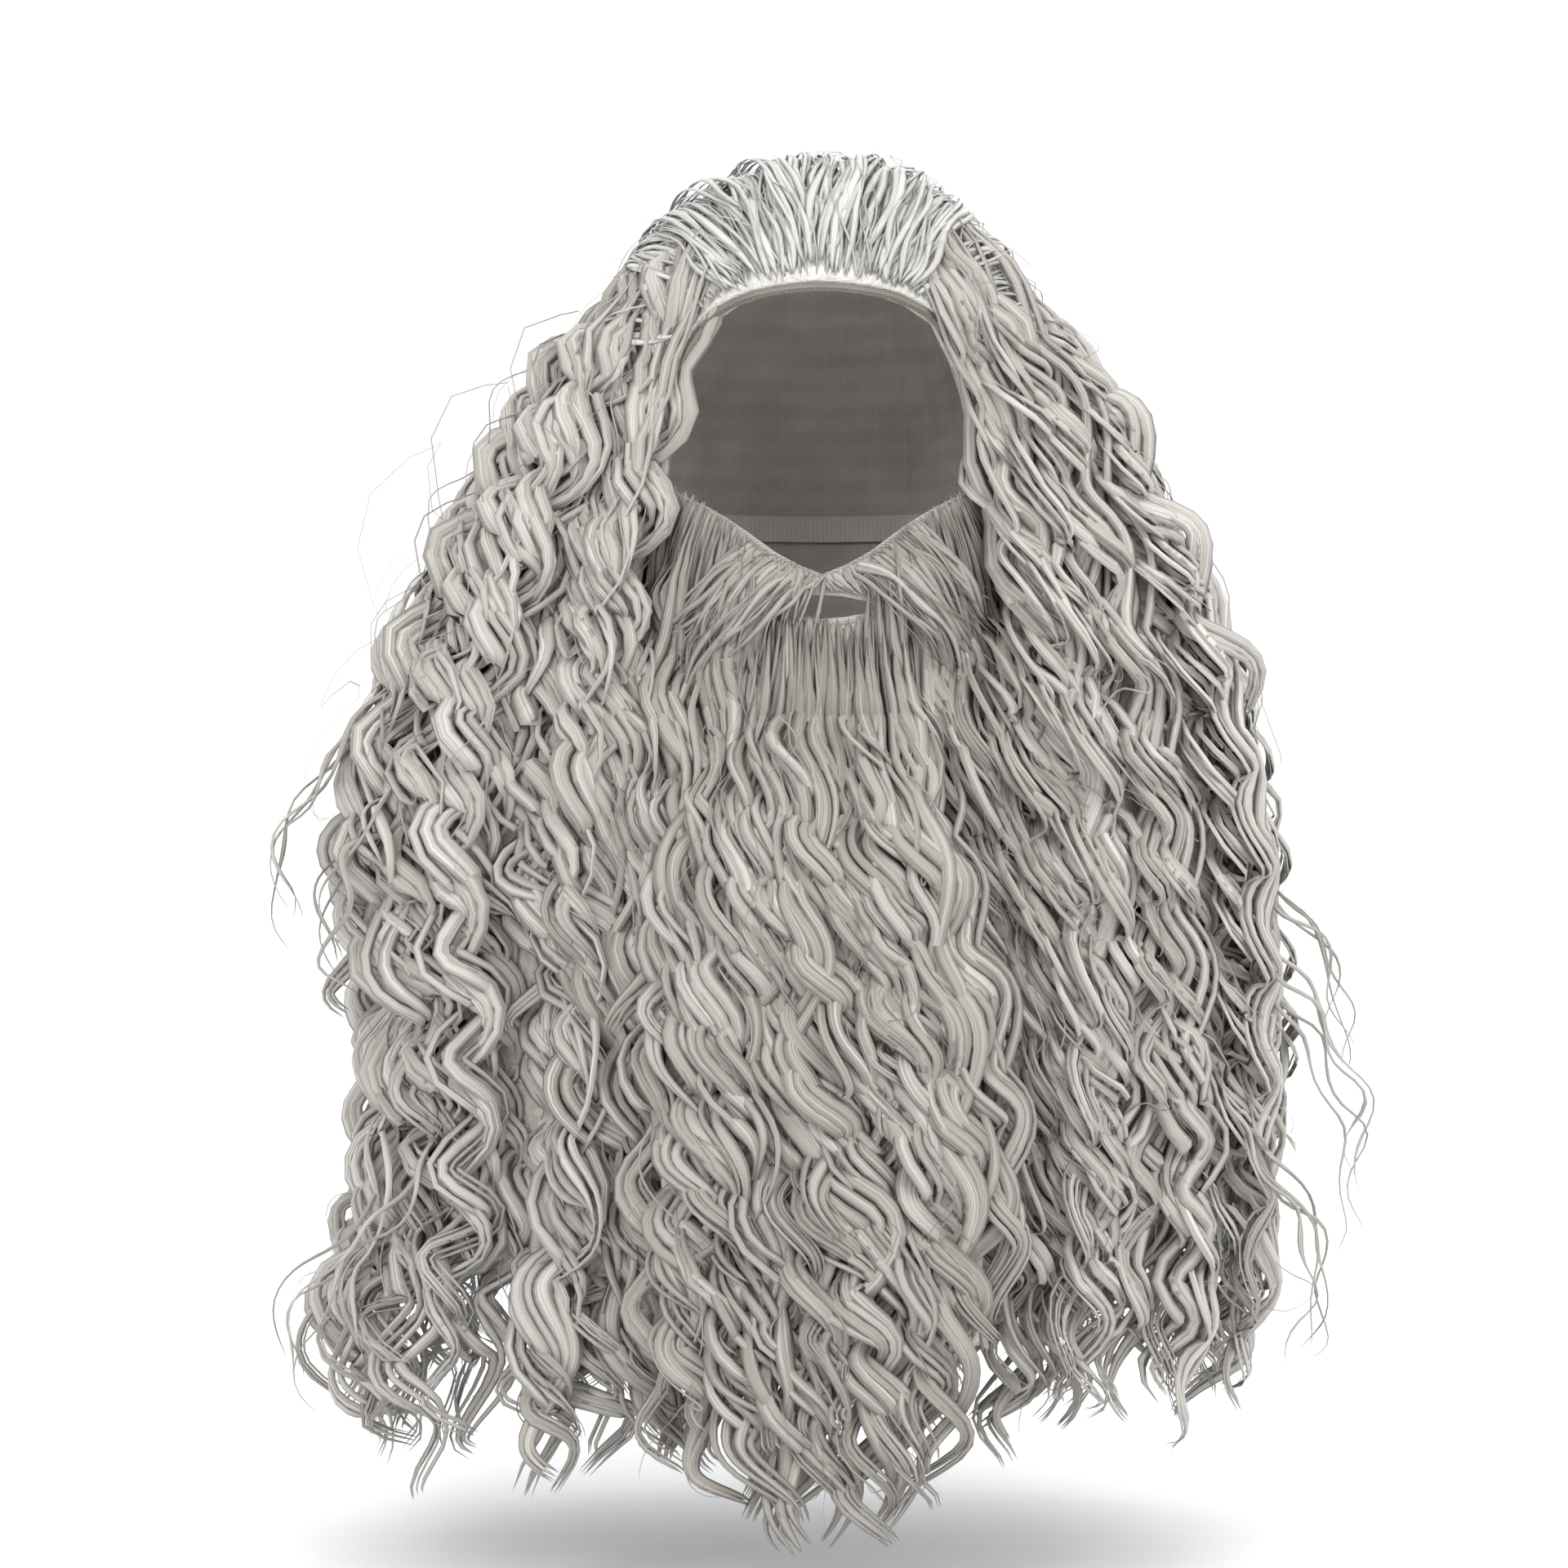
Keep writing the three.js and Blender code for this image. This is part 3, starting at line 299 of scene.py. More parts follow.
# Half of each sort leaves the long locks, the other half the short ones
def looseBundles(paths, faces, sorts, rng):
    made = []
    for count, rows, follow, size in sorts:
        for source, finalRows in enumerate([rows, rows * 3 // 4]):
            loose = followers(paths[source], faces[source], count // 2, 90, follow, rng)
            path, face = settled(*loose, finalRows)
            made.append(thinBundle(path, face, (0.08, 0.65), size, 0.65, (0.35, 1.0), rng))
    return made


def tubeArrays(part):  # points, quads, triangles and what the shader reads at each corner
    path, sides = part["path"], part["sides"]
    n, rows = path.shape[:2]
    tangent = unit(np.gradient(path, axis=1))
    side = unit(np.cross(part["face"], tangent))
    out = np.cross(tangent, side)
    a = np.arange(sides) / sides * 2 * math.pi
    half = (part["width"] / 2)[:, 1:-1, None, None] * np.sin(a)[None, None, :, None]
    deep = (part["depth"] / 2)[:, 1:-1, None, None] * np.cos(a)[None, None, :, None]
    rings = path[:, 1:-1, None] + side[:, 1:-1, None] * half + out[:, 1:-1, None] * deep
    per = (rows - 2) * sides + 2
    verts = np.concatenate([path[:, :1], rings.reshape(n, -1, 3), path[:, -1:]], axis=1).reshape(-1, 3)
    j, k = np.meshgrid(np.arange(rows - 3), np.arange(sides), indexing="ij")
    nxt = (k + 1) % sides
    first = 1 + j * sides
    quad = np.stack([first + k, first + sides + k, first + sides + nxt, first + nxt], axis=-1)
    quad = quad.reshape(-1, 4)
    k = np.arange(sides)
    nxt = (k + 1) % sides
    last = per - 1
    top = np.stack([np.zeros(sides, int), 1 + k, 1 + nxt], axis=-1)
    end = np.stack([np.full(sides, last), last - sides + nxt, last - sides + k], axis=-1)
    run = along(path) / 1000
    lane = np.arange(sides + 1) / sides
    offset = np.arange(n)[:, None, None] * per
    quads = (quad[None] + offset).reshape(-1, 4)
    tris = (np.concatenate([top, end])[None] + offset).reshape(-1, 3)
    # corner values, in the same order: how far round, how far along, row number
    jq, kq = np.meshgrid(np.arange(rows - 3), np.arange(sides), indexing="ij")
    rowQ = np.stack([jq + 1, jq + 2, jq + 2, jq + 1], axis=-1).reshape(-1)
    laneQ = np.stack([lane[kq], lane[kq], lane[kq + 1], lane[kq + 1]], axis=-1).reshape(-1)
    rowT = np.concatenate([np.tile([0, 1, 1], sides), np.tile([rows - 1, rows - 2, rows - 2], sides)])
    middle = (lane[:-1] + lane[1:]) / 2
    laneT = np.concatenate(
        [
            np.stack([middle, lane[:-1], lane[1:]], axis=-1).reshape(-1),
            np.stack([middle, lane[1:], lane[:-1]], axis=-1).reshape(-1),
        ]
    )
    rowAll, laneAll = np.concatenate([rowQ, rowT]), np.concatenate([laneQ, laneT])
    which = np.repeat(np.arange(n), len(rowAll))
    rowAll, laneAll = np.tile(rowAll, n), np.tile(laneAll, n)
    order = np.arange(len(which)).reshape(n, -1)
    cut = len(rowQ)
    order = np.concatenate([order[:, :cut].reshape(-1), order[:, cut:].reshape(-1)])
    which, rowAll, laneAll = which[order], rowAll[order], laneAll[order]
    middleTone = np.repeat(part["tone"][:, 1:-1], sides, axis=1)
    tone = np.concatenate([part["tone"][:, :1], middleTone, part["tone"][:, -1:]], axis=1).reshape(-1)
    corner = {"strand": which, "row": rowAll / (rows - 1), "lane": laneAll, "run": run[which, rowAll]}
    return verts, quads, tris, corner, tone, len(rowQ) * n


def gridArrays(front, rear):  # a closed sheet between two surfaces, rows down and columns across
    rows, cols = front.shape[:2]
    verts = np.concatenate([front.reshape(-1, 3), rear.reshape(-1, 3)])
    size = rows * cols
    r, c = np.meshgrid(np.arange(rows - 1), np.arange(cols - 1), indexing="ij")
    a = r * cols + c
    face = np.stack([a, a + cols, a + cols + 1, a + 1], axis=-1).reshape(-1, 4)
    back = face[:, ::-1] + size
    r, c = np.arange(rows - 1), np.arange(cols - 1)
    left = np.stack([r * cols, r * cols + size, (r + 1) * cols + size, (r + 1) * cols], axis=-1)
    right = np.stack([r * cols, (r + 1) * cols, (r + 1) * cols + size, r * cols + size], axis=-1)
    right = right + cols - 1
    top = np.stack([c, c + 1, c + 1 + size, c + size], axis=-1)
    low = np.stack([c, c + size, c + 1 + size, c + 1], axis=-1) + (rows - 1) * cols
    return verts, np.concatenate([face, back, left, right, top, low])


def hairPiece(name, bed, bundles, materials, replaced):
    vertParts, quadParts, triParts = [], [], []
    strandUv, bakeUv, triStrandUv, triBakeUv, tones, slots = [], [], [], [], [], []
    base = 0
    share = 0.1  # of the bake map's width, for the bed
    if bed is not None:
        verts, quads = gridArrays(*bed)
        rows, cols = bed[0].shape[:2]
        size = rows * cols
        layer = (quads >= size).astype(float)
        r = (quads % size) // cols / (rows - 1)
        c = (quads % size) % cols / (cols - 1)
        vertParts.append(verts)
        quadParts.append(quads)
        edge = np.ones(len(quads), bool)
        edge[: 2 * (rows - 1) * (cols - 1)] = False
        u = (0.02 + 0.45 * c + 0.5 * layer) * share
        v = 0.03 + 0.94 * r
        u = np.where(edge[:, None], 0.99 * share + 0.002 * c, u)
        bakeUv.append(np.stack([u, v], axis=-1).reshape(-1, 2))
        strandUv.append(np.stack([c, r], axis=-1).reshape(-1, 2))
        tones.append(np.zeros(len(verts)))
        slots.append(np.ones(len(quads), int))
        base = len(verts)
    total = sum(len(b["path"]) for b in bundles)
    lanes = max(1, int(math.ceil(math.sqrt(total * 6))))
    stack = int(math.ceil(total / lanes))
    done = 0
    for part in bundles:
        verts, quads, tris, corner, tone, cut = tubeArrays(part)
        cell = corner["strand"] + done
        column, row = cell % lanes, cell // lanes
        u = share + (1 - share) * (column + 0.08 + 0.84 * corner["lane"]) / lanes
        v = (row + 0.02 + 0.96 * corner["row"]) / stack
        bake = np.stack([u, v], axis=-1)
        strand = np.stack([corner["lane"], corner["run"] + cell * 0.731], axis=-1)
        vertParts.append(verts)
        quadParts.append(quads + base)
        triParts.append(tris + base)
        bakeUv.append(bake[:cut])
        triBakeUv.append(bake[cut:])
        strandUv.append(strand[:cut])
        triStrandUv.append(strand[cut:])
        tones.append(tone)
        slots.append(np.zeros(len(quads), int))
        base += len(verts)
        done += len(part["path"])
    verts = np.concatenate(vertParts) / 1000
    quads, tris = np.concatenate(quadParts), np.concatenate(triParts)
    mesh = bpy.data.meshes.new(name)
    mesh.vertices.add(len(verts))
    mesh.vertices.foreach_set("co", verts.reshape(-1))
    loops = np.concatenate([quads.reshape(-1), tris.reshape(-1)])
    mesh.loops.add(len(loops))
    mesh.loops.foreach_set("vertex_index", loops)
    sizes = np.concatenate([np.full(len(quads), 4), np.full(len(tris), 3)])
    starts = np.concatenate([[0], np.cumsum(sizes)[:-1]])
    mesh.polygons.add(len(sizes))
    mesh.polygons.foreach_set("loop_start", starts)
    mesh.polygons.foreach_set("material_index", np.concatenate(slots + [np.zeros(len(tris), int)]))
    mesh.update()
    for label, rows in [("OFBake", bakeUv + triBakeUv), ("strand", strandUv + triStrandUv)]:
        mesh.uv_layers.new(name=label).data.foreach_set("uv", np.concatenate(rows).reshape(-1))
    shade = mesh.attributes.new("tone", "FLOAT", "POINT")
    shade.data.foreach_set("value", np.concatenate(tones))
    for material in materials:
        mesh.materials.append(material)
    mesh.validate()
    piece = bpy.data.objects.new(name, mesh)
    scene.collection.objects.link(piece)
    mesh.shade_smooth()
    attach(piece, "root")
    if replaced:
        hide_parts(*replaced)
    print(name, "triangles", int(len(quads) * 2 + len(tris)))
    return piece


# Shader maths
class Wire:
    def __init__(self, tree, socket=None):
        self.tree = tree
        self.socket = socket

    def node(self, kind, settings, sockets, output=0):
        made = self.tree.nodes.new(kind)
        for name, value in settings.items():
            if name == "stops":
                ramp = made.color_ramp
                while len(ramp.elements) < len(value):
                    ramp.elements.new(0.5)
                for element, (place, colour) in zip(ramp.elements, value):
                    element.position = place
                    element.color = (*colour, 1)
            else:
                setattr(made, name, value)
        for name, value in sockets.items():
            if isinstance(value, Wire):
                self.tree.links.new(value.socket, made.inputs[name])
            else:
                made.inputs[name].default_value = value
        return Wire(self.tree, made.outputs[output])

    def maths(self, operation, first, second):
        return self.node("ShaderNodeMath", {"operation": operation}, {0: first, 1: second})

    def __add__(self, other):
        return self.maths("ADD", self, other)

    def __radd__(self, other):
        return self.maths("ADD", other, self)

    def __sub__(self, other):
        return self.maths("SUBTRACT", self, other)

    def __rsub__(self, other):
        return self.maths("SUBTRACT", other, self)

    def __mul__(self, other):
        return self.maths("MULTIPLY", self, other)

    def __rmul__(self, other):
        return self.maths("MULTIPLY", other, self)


def newMaterial(name):
    material = bpy.data.materials.new(name)
    material.use_nodes = True
    tree = material.node_tree
    shader = tree.nodes["Principled BSDF"]
    return material, Wire(tree), shader


def connect(wire, shader, name):
    wire.tree.links.new(wire.socket, shader.inputs[name])


def hairMaterial(name, look):
    material, wire, shader = newMaterial(name)
    uv = wire.node("ShaderNodeUVMap", {"uv_map": "strand"}, {})
    tone = wire.node("ShaderNodeAttribute", {"attribute_name": "tone"}, {}, "Fac")
    noises = []
    for across, run, detail in [(1.0, 1.0, 2.0), (0.25, 0.7, 1.0)]:
        size = (look["fibres"] * across, look["fibreRun"] * run, 1)
        place = wire.node("ShaderNodeMapping", {}, {"Vector": uv, "Scale": size})
        sockets = {"Vector": place, "Scale": 1.0, "Detail": detail}
        noises.append(wire.node("ShaderNodeTexNoise", {"noise_dimensions": "2D"}, sockets))
    fibreAndGapShade, streak = noises
    # Base colour: the tone attribute brings each lock's tone and the painted shade at the root; the fine
    # fibre noise gives the fibres' own varied tone and painted shade in the gaps between fibres
    value = fibreAndGapShade * 1.5 + streak * 1.1 + tone * 0.5 - 1.09
    colour = wire.node("ShaderNodeValToRGB", {"stops": look["stops"]}, {"Fac": value})
    connect(colour, shader, "Base Color")
    connect(fibreAndGapShade * 0.25 + look["roughness"], shader, "Roughness")
    height = fibreAndGapShade * 0.6 + streak * 0.4
    sockets = {"Height": height, "Strength": look["bump"], "Distance": 0.0012}
    bump = wire.node("ShaderNodeBump", {}, sockets)
    connect(bump, shader, "Normal")
    shader.inputs["Specular IOR Level"].default_value = look["gloss"]
    shader.inputs["Sheen Weight"].default_value = 0.15
    shader.inputs["Sheen Roughness"].default_value = 0.4
    return material


def tangleMaterial(name, look):
    material, wire, shader = newMaterial(name)
    place = wire.node("ShaderNodeTexCoord", {}, {}, "Object")
    warp = wire.node("ShaderNodeTexNoise", {}, {"Vector": place, "Scale": 35.0, "Detail": 2.0}, "Color")
    bent = wire.node("ShaderNodeMix", {"data_type": "VECTOR"}, {"Factor": 0.04, 4: place, 5: warp}, 1)
    fall = wire.node("ShaderNodeMapping", {}, {"Vector": bent, "Scale": (520, 520, 70)})
    turned = {"Vector": bent, "Scale": (160, 300, 420), "Rotation": (0.4, 0.5, 0.3)}
    cross = wire.node("ShaderNodeMapping", {}, turned)
    one = wire.node("ShaderNodeTexNoise", {}, {"Vector": fall, "Scale": 1.0, "Detail": 3.0})
    two = wire.node("ShaderNodeTexNoise", {}, {"Vector": cross, "Scale": 1.0, "Detail": 3.0})
    value = one * 0.6 + two * 0.6 - 0.15
    colour = wire.node("ShaderNodeValToRGB", {"stops": look["stops"]}, {"Fac": value})
    connect(colour, shader, "Base Color")
    connect(two * 0.2 + 0.55, shader, "Roughness")
    bump = wire.node("ShaderNodeBump", {}, {"Height": value, "Strength": 0.8, "Distance": 0.003})
    connect(bump, shader, "Normal")
    shader.inputs["Specular IOR Level"].default_value = 0.25
    return material


silverLook = {
    "stops": [
        (0.1, (0.34, 0.31, 0.27)),
        (0.4, (0.49, 0.455, 0.405)),
        (0.65, (0.6, 0.567, 0.518)),
        (0.92, (0.76, 0.737, 0.7)),
    ],
    "fibres": 56,
    "fibreRun": 8,
    "roughness": 0.3,
    "bump": 0.75,
    "gloss": 0.5,
}
silver = hairMaterial("silver_strands", silverLook)
# A lighter copy of the silver strands for the crown: painted light on the top of the head, where the same
# hair as the falls starts
paintedLightSilver = hairMaterial(
    "silver_strands_painted_light",
    {
        **silverLook,
        "stops": [
            (0.1, (0.52, 0.496, 0.445)),
            (0.4, (0.67, 0.652, 0.602)),
            (0.65, (0.77, 0.756, 0.712)),
            (0.92, (0.87, 0.863, 0.835)),
        ],
    },
)
# A darker copy of the silver strands for the beard and moustache: partly the beard's own darker tone,
# partly painted shade
beardFibre = hairMaterial(
    "beard_strands",
    {
        **silverLook,
        "stops": [
            (0.1, (0.27, 0.24, 0.202)),
            (0.4, (0.395, 0.361, 0.316)),
            (0.65, (0.49, 0.457, 0.411)),
            (0.92, (0.64, 0.614, 0.573)),
        ],
    },
)
# The underhair seen in the gaps between the locks: partly its own colour, partly painted shade between the
# locks
underhairPaintedShade = tangleMaterial(
    "underhair_painted_shade",
    {"stops": [(0.3, (0.39, 0.36, 0.32)), (0.5, (0.51, 0.48, 0.435)), (0.72, (0.63, 0.6, 0.555))]},
)
# A lighter copy of the underhair for the crown: painted light that lifts the shade between the crown's
# strands
underhairPaintedLight = tangleMaterial(
    "underhair_painted_light",
    {"stops": [(0.3, (0.56, 0.54, 0.495)), (0.5, (0.7, 0.68, 0.635)), (0.72, (0.82, 0.8, 0.76))]},
)
print("hair materials made")


# Crown hair: combed from the hairline over the cap to the nape and down both sides
comb = {
    "startReach": 72,
    "endReach": 62,
    "over": 82,
    "thickness": 22,
    "hairline": 4,
    "edge": -0.05,
    "locks": 250,
    "behind": 0.36,
    "fine": 560,
    "flyaways": 190,
    "girth": 6.0,
    "ribbon": 3.9,
}


def directionOf(degrees, z):
    up = (z + head["crownToWidest"]) / head["crownToWidest"]
    flat = np.sqrt(np.maximum(0, 1 - up * up))
    u = np.radians(degrees)
    return points(flat * np.sin(u), -flat * np.cos(u), up)


def slerp(a, b, t):
    angle = np.arccos(np.clip((a * b).sum(-1, keepdims=True), -1, 1))
    flat = np.maximum(np.sin(angle), 1e-6)
    return unit(a * np.sin((1 - t) * angle) / flat + b * np.sin(t * angle) / flat)


def capEdgeZ(degrees):
    turn = np.abs((np.asarray(degrees) + 180) % 360 - 180)
    return -head["height"] * read(capEdge, "angle", "down", turn)


def combDirection(across, run):
    across, run = np.broadcast_arrays(across, run)
    side = across * 2 - 1
    start = seat["bindingWidth"] * mix(comb["edge"], 0.5, ease(np.abs(side) * 2.4 - 1.2))
    begin = directionOf(side * comb["startReach"], capEdgeZ(side * comb["startReach"]) + start)
    endAngle = np.where(side < 0, -1, 1) * (180 - comb["endReach"] * np.abs(side))
    finish = directionOf(endAngle, capEdgeZ(endAngle) + seat["bindingWidth"])
    tilt = np.radians(side * comb["over"])
    over = unit(points(np.sin(tilt), 0.06, np.cos(tilt)))
    t = run[..., None]
    return slerp(slerp(begin, over, t), slerp(over, finish, t), t)


def crownSpot(direction, offset):
    u = np.arctan2(direction[..., 0], -direction[..., 1])
    tall = head["crownToWidest"]
    low = headPoint(u, np.minimum(tall * (direction[..., 2] - 1), -tall), offset)
    size = points(head["halfWidth"] + offset, head["halfDepth"] + offset, tall + offset)
    high = direction * size + np.array([0, 0, -tall])
    return np.where(direction[..., 2:] < 0, low, high)


def crownDepth(across, run):  # thickness of the hair over the cap
    side = np.abs(across * 2 - 1)
    full = mix(1, 1.3, ease(side * 1.5))
    top = comb["thickness"] * mix(full, 0.6, ease(side * 3 - 2))
    low = mix(top, top * 0.45, ease((run - 0.55) * 2.6))
    return mix(comb["hairline"], low, ease(run * 3.4))


def crownPaths(count, rows, reach, lift, rng):
    start = rng.uniform(0, 0.86, (count, 1))
    start[: count // 5] = rng.uniform(0, 0.03, (count // 5, 1))
    behind = slice(count - int(count * comb["behind"]), None)
    start[behind] = 0.3 + 0.5 * start[behind]
    run = start + rng.uniform(reach[0], reach[1], (count, 1)) * np.linspace(0, 1, rows)[None, :]
    t = np.linspace(0, 1, rows)[None, :]
    place = 2 * (rng.permutation(count) + rng.uniform(0, 1, count))[:, None] / count - 1
    place[behind] = np.linspace(-0.62, 0.62, len(place[behind]))[:, None] + 0.03 * place[behind]
    across = 0.5 + 0.5 * (1.15 * place - 0.15 * place**3) + rng.normal(0, 0.035, (count, 1)) * t
    run = np.clip(run, 0, 1.03)
    depth = crownDepth(across, run)
    level = rng.uniform(0.66, 1.0, (count, 1))
    rise = lift * t**2 * rng.uniform(0, 1, (count, 1)) ** 2
    high = depth * mix(level - 0.24, level, ease(t * 2.2)) + rise
    high = np.maximum(high, 1.2 + 1.2 * level)
    base = crownSpot(combDirection(across, run), seat["crown"] + 0.3 + high)
    out = unit(base - np.array([0, 0, -head["crownToWidest"]]))
    return base, out


crownWaves = {
    "period": 62,
    "grow": 130,
    "sway": 3.0,
    "bob": 1.8,
    "drift": 6.0,
    "twist": 0.12,
    "roll": 0.1,
    "loose": 1.2,
}
crownFine = {"period": 50, "grow": 70, "sway": 4.5, "bob": 2.6, "drift": 12, "loose": 2}
crownFlying = {"period": 40, "grow": 50, "sway": 4, "bob": 3.0, "drift": 12, "loose": 2}


def crownHair():
    rng = np.random.default_rng(11)
    n, rows, each = comb["locks"], 16, 5
    base, out = crownPaths(n, rows, (0.28, 0.6), 2.5, rng)
    path, face = ribbons(*waved(base, out, crownWaves, rng), each, comb["girth"], rng)
    shape = profile(n * each, rows, rng, 0.12, 0.6)
    width = shape * comb["ribbon"] * rng.uniform(0.5, 1.3, (n * each, 1))
    bundles = [bundle(path, face, width, width * 0.24, 3, (0.3, 1.0), rng, each)]
    for count, rows, reach, lift, look, tip, size, flat, tones in [
        (comb["fine"], 14, (0.16, 0.42), 7, crownFine, 0.7, (0.6, 1.6), 0.6, (0.4, 1.05)),
        (comb["flyaways"], 16, (0.1, 0.24), 14, crownFlying, 0.9, (0.35, 0.65), 1, (0.5, 1.05)),
    ]:
        path, face = waved(*crownPaths(count, rows, reach, lift, rng), look, rng)
        bundles.append(thinBundle(path, face, (0.1, tip), size, flat, tones, rng))
    across, run = np.meshgrid(np.linspace(0, 1, 46), np.linspace(0, 1, 32))
    direction = combDirection(across, run)
    bumps = 0.92 + 0.08 * np.sin(across * 90 + 3 * np.sin(run * 9))
    front = crownSpot(direction, seat["crown"] + 0.6 + crownDepth(across, run) * 0.5 * bumps)
    rear = crownSpot(direction, np.full(across.shape, seat["crown"]) + 0.1)
    materials = [paintedLightSilver, underhairPaintedLight]
    return hairPiece("crown_strands", (front, rear), bundles, materials, ["crown_hair"])


crownHair()


# Falls: they leave the crown and swing out to the outer form
sideFall = {
    "cap": (52, 121),
    "hem": (38, 130),
    "top": 0.08,
    "spread": (-0.17, 1.03),
    "flare": 1,
}
falls = {
    "left": {
        **sideFall,
        "side": -1,
        "hemDrop": 0.93,
        "seed": 21,
        "strays": [(80, 0.34, 0.56, 1.1), (66, 0.68, 0.88, 1.12), (72, 0.42, 0.6, 1.06)],
    },
    "right": {
        **sideFall,
        "side": 1,
        "hemDrop": 0.91,
        "seed": 22,
        "strays": [(74, 0.54, 0.77, 1.12), (66, 0.66, 0.85, 1.12), (80, 0.48, 0.66, 1.08)],
    },
    "back": {
        "side": 1,
        "cap": (122, 238),
        "hem": (131, 229),
        "top": 0.1,
        "hemDrop": 0.9,
        "seed": 23,
        "spread": (-0.03, 1.03),
        "flare": 0,
        "strays": [],
    },
}
fallLook = {
    "swing": 0.12,
    "rootLift": 22.5,
    "girth": 8.5,
    "ribbon": 7.2,
    "flat": 0.3,
    # painted shade: how much darker the falls' locks are towards their roots
    "shade": 0.12,
    "front": 0.55,
    "flare": 0.055,
}
fallWaves = {
    "period": 50,
    "grow": 95,
    "early": 0.06,
    "sway": 7.5,
    "bob": 5,
    "drift": 10,
    "twist": 0.45,
    "flick": 0.5,
    "roll": 0.4,
}
strayWaves = {**fallWaves, "sway": 5, "bob": 3, "grow": 40, "drift": 3}
strayVary = (3, 0.01, 0.015, 0.008)
fallFine = {"reach": (0.22, 0.42), "apart": 8, "lift": 4, "own": 6}
fallFlying = {"reach": (0.12, 0.3), "apart": 11, "lift": 6, "own": 11}


def fallPoint(degrees, z, startZ, share, lift):
    u = np.radians(degrees)
    turn = np.abs((degrees + 180) % 360 - 180)
    near = headPoint(u, np.maximum(z, -head["height"]), lift)
    near[..., 2] = np.broadcast_to(z, near.shape[:-1])
    far = hairPoint(u, z, share, seat["sideSetBack"] * ease((90 - turn) / 50))
    t = ease((startZ - z) / (hair["length"] * fallLook["swing"]) + 0.12)
    return near + (far - near) * t[..., None]


def fallGuide(fall, across, down, share):
    part = (down - fall["top"]) / (fall["hemDrop"] - fall["top"])
    cap = mix(fall["cap"][0], fall["cap"][1], across)
    low = mix(fall["hem"][0], fall["hem"][1], np.maximum(across, -0.04))
    angle = fall["side"] * mix(cap, low, ease(part * 2.2))
    lift = fallLook["rootLift"] * mix(0.45, 1, ease(across / 0.2 + 1)) + 0 * part
    return fallPoint(angle, levelZ(down), levelZ(fall["top"]), share, lift)


# Long locks from the crown, or shorter ones that come out from under others
def fallPaths(fall, count, rows, reach, rng):
    t = np.linspace(0, 1, rows)[None, :]
    across = ((rng.permutation(count) + rng.uniform(0, 1, count)) / count)[:, None]
    across = mix(fall["spread"][0], fall["spread"][1], across) + rng.normal(0, 0.035, (count, 1)) * t
    if reach:
        room = fall["hemDrop"] - fall["top"] - reach[0]
        root = fall["top"] + 0.02 + room * rng.uniform(0, 1, (count, 1)) ** 0.9
        tip = root + rng.uniform(reach[0], reach[1], (count, 1))
        under = 0.1
    else:
        root = fall["top"] + rng.uniform(-0.05, 0.03, (count, 1))
        tip = fall["hemDrop"] - 0.26 * rng.uniform(0, 1, (count, 1)) ** 2.2
        under = 0.03
    down = mix(root, np.minimum(tip, fall["hemDrop"] + rng.uniform(-0.03, 0.035, (count, 1))), t)
    level = rng.uniform(0.86, 1.0, (count, 1))
    flare = fallLook["flare"] * fall["flare"] * ease((down - 0.74) / 0.18) * rng.uniform(0, 1, (count, 1))
    base = fallGuide(fall, across, down, mix(level - under, level, ease(t * 2.8)) + flare)
    out = outward(base) * np.array([1, 1, 0]) + np.array([0, -fallLook["front"] * fall["flare"], 0.12])
    return base, unit(out), mix(0.3, 1, ease(across[:, :1] / 0.16 + 0.7))


def strayPaths(fall, rows, rng):
    t = np.linspace(0, 1, rows)[None, :]
    count = len(fall["strays"]) * 4
    rowsOf = np.repeat(np.array(fall["strays"], float), 4, axis=0)
    values = [rowsOf[:, i : i + 1] + rng.normal(0, s, (count, 1)) for i, s in enumerate(strayVary)]
    angle, root, tip, reach = values
    share = mix(0.88, reach, ease(t * 1.25))
    base = hairPoint(np.radians(fall["side"] * angle) + 0 * t, levelZ(mix(root, tip, t)), share, 0)
    return base, outward(base)


def fallHair(name, fall, counts, replaced):
    rng = np.random.default_rng(fall["seed"])
    bundles, paths, faces = [], [], []
    for n, each, rows, reach, root in [
        (counts[0], 5, 80, None, 0.06),
        (counts[1], 4, 32, (0.2, 0.38), 0.16),
    ]:
        base, out, held = fallPaths(fall, n, rows * 3, reach, rng)
        own = {"grow": 35} if reach else {"held": held}
        path, face = waved(base, out, {**fallWaves, **own}, rng)
        paths.append(path)
        faces.append(face)
        bundles.append(lockBundle(path, face, each, rows, fallLook, root, rng))
    if fall["strays"]:
        base, out = strayPaths(fall, 30, rng)
        path, face = waved(base, out, strayWaves, rng)
        shape = profile(len(path), 30, rng, 0.2, 0.6)
        width = shape * rng.uniform(2, 5.5, (len(path), 1))
        bundles.append(bundle(path, face, width, shape * 1.8, 4, (0.2, 0.7), rng))
    sorts = [(counts[2], 40, fallFine, (0.6, 1.4)), (counts[3], 28, fallFlying, (0.35, 0.6))]
    bundles += looseBundles(paths, faces, sorts, rng)
    across, part = np.meshgrid(np.linspace(fall["spread"][0] + 0.03, 0.99, 44), np.linspace(0, 1, 38))
    hem = fall["hemDrop"] - 0.13 + 0.03 * np.sin(across * 40) + 0.02 * np.sin(across * 93)
    down = mix(fall["top"] - 0.02, hem, part)
    ripple = np.sin(across * 45 + 2.5 * np.sin(part * 16)) * 0.008 * ease(part * 4)
    taper = 1 - ease((part - 0.85) / 0.15)
    front = fallGuide(fall, across, down, 0.865 + ripple)
    rear = front - outward(front) * (1 + 5 * taper)[..., None]
    return hairPiece(name, (front, rear), bundles, [silver, underhairPaintedShade], replaced)


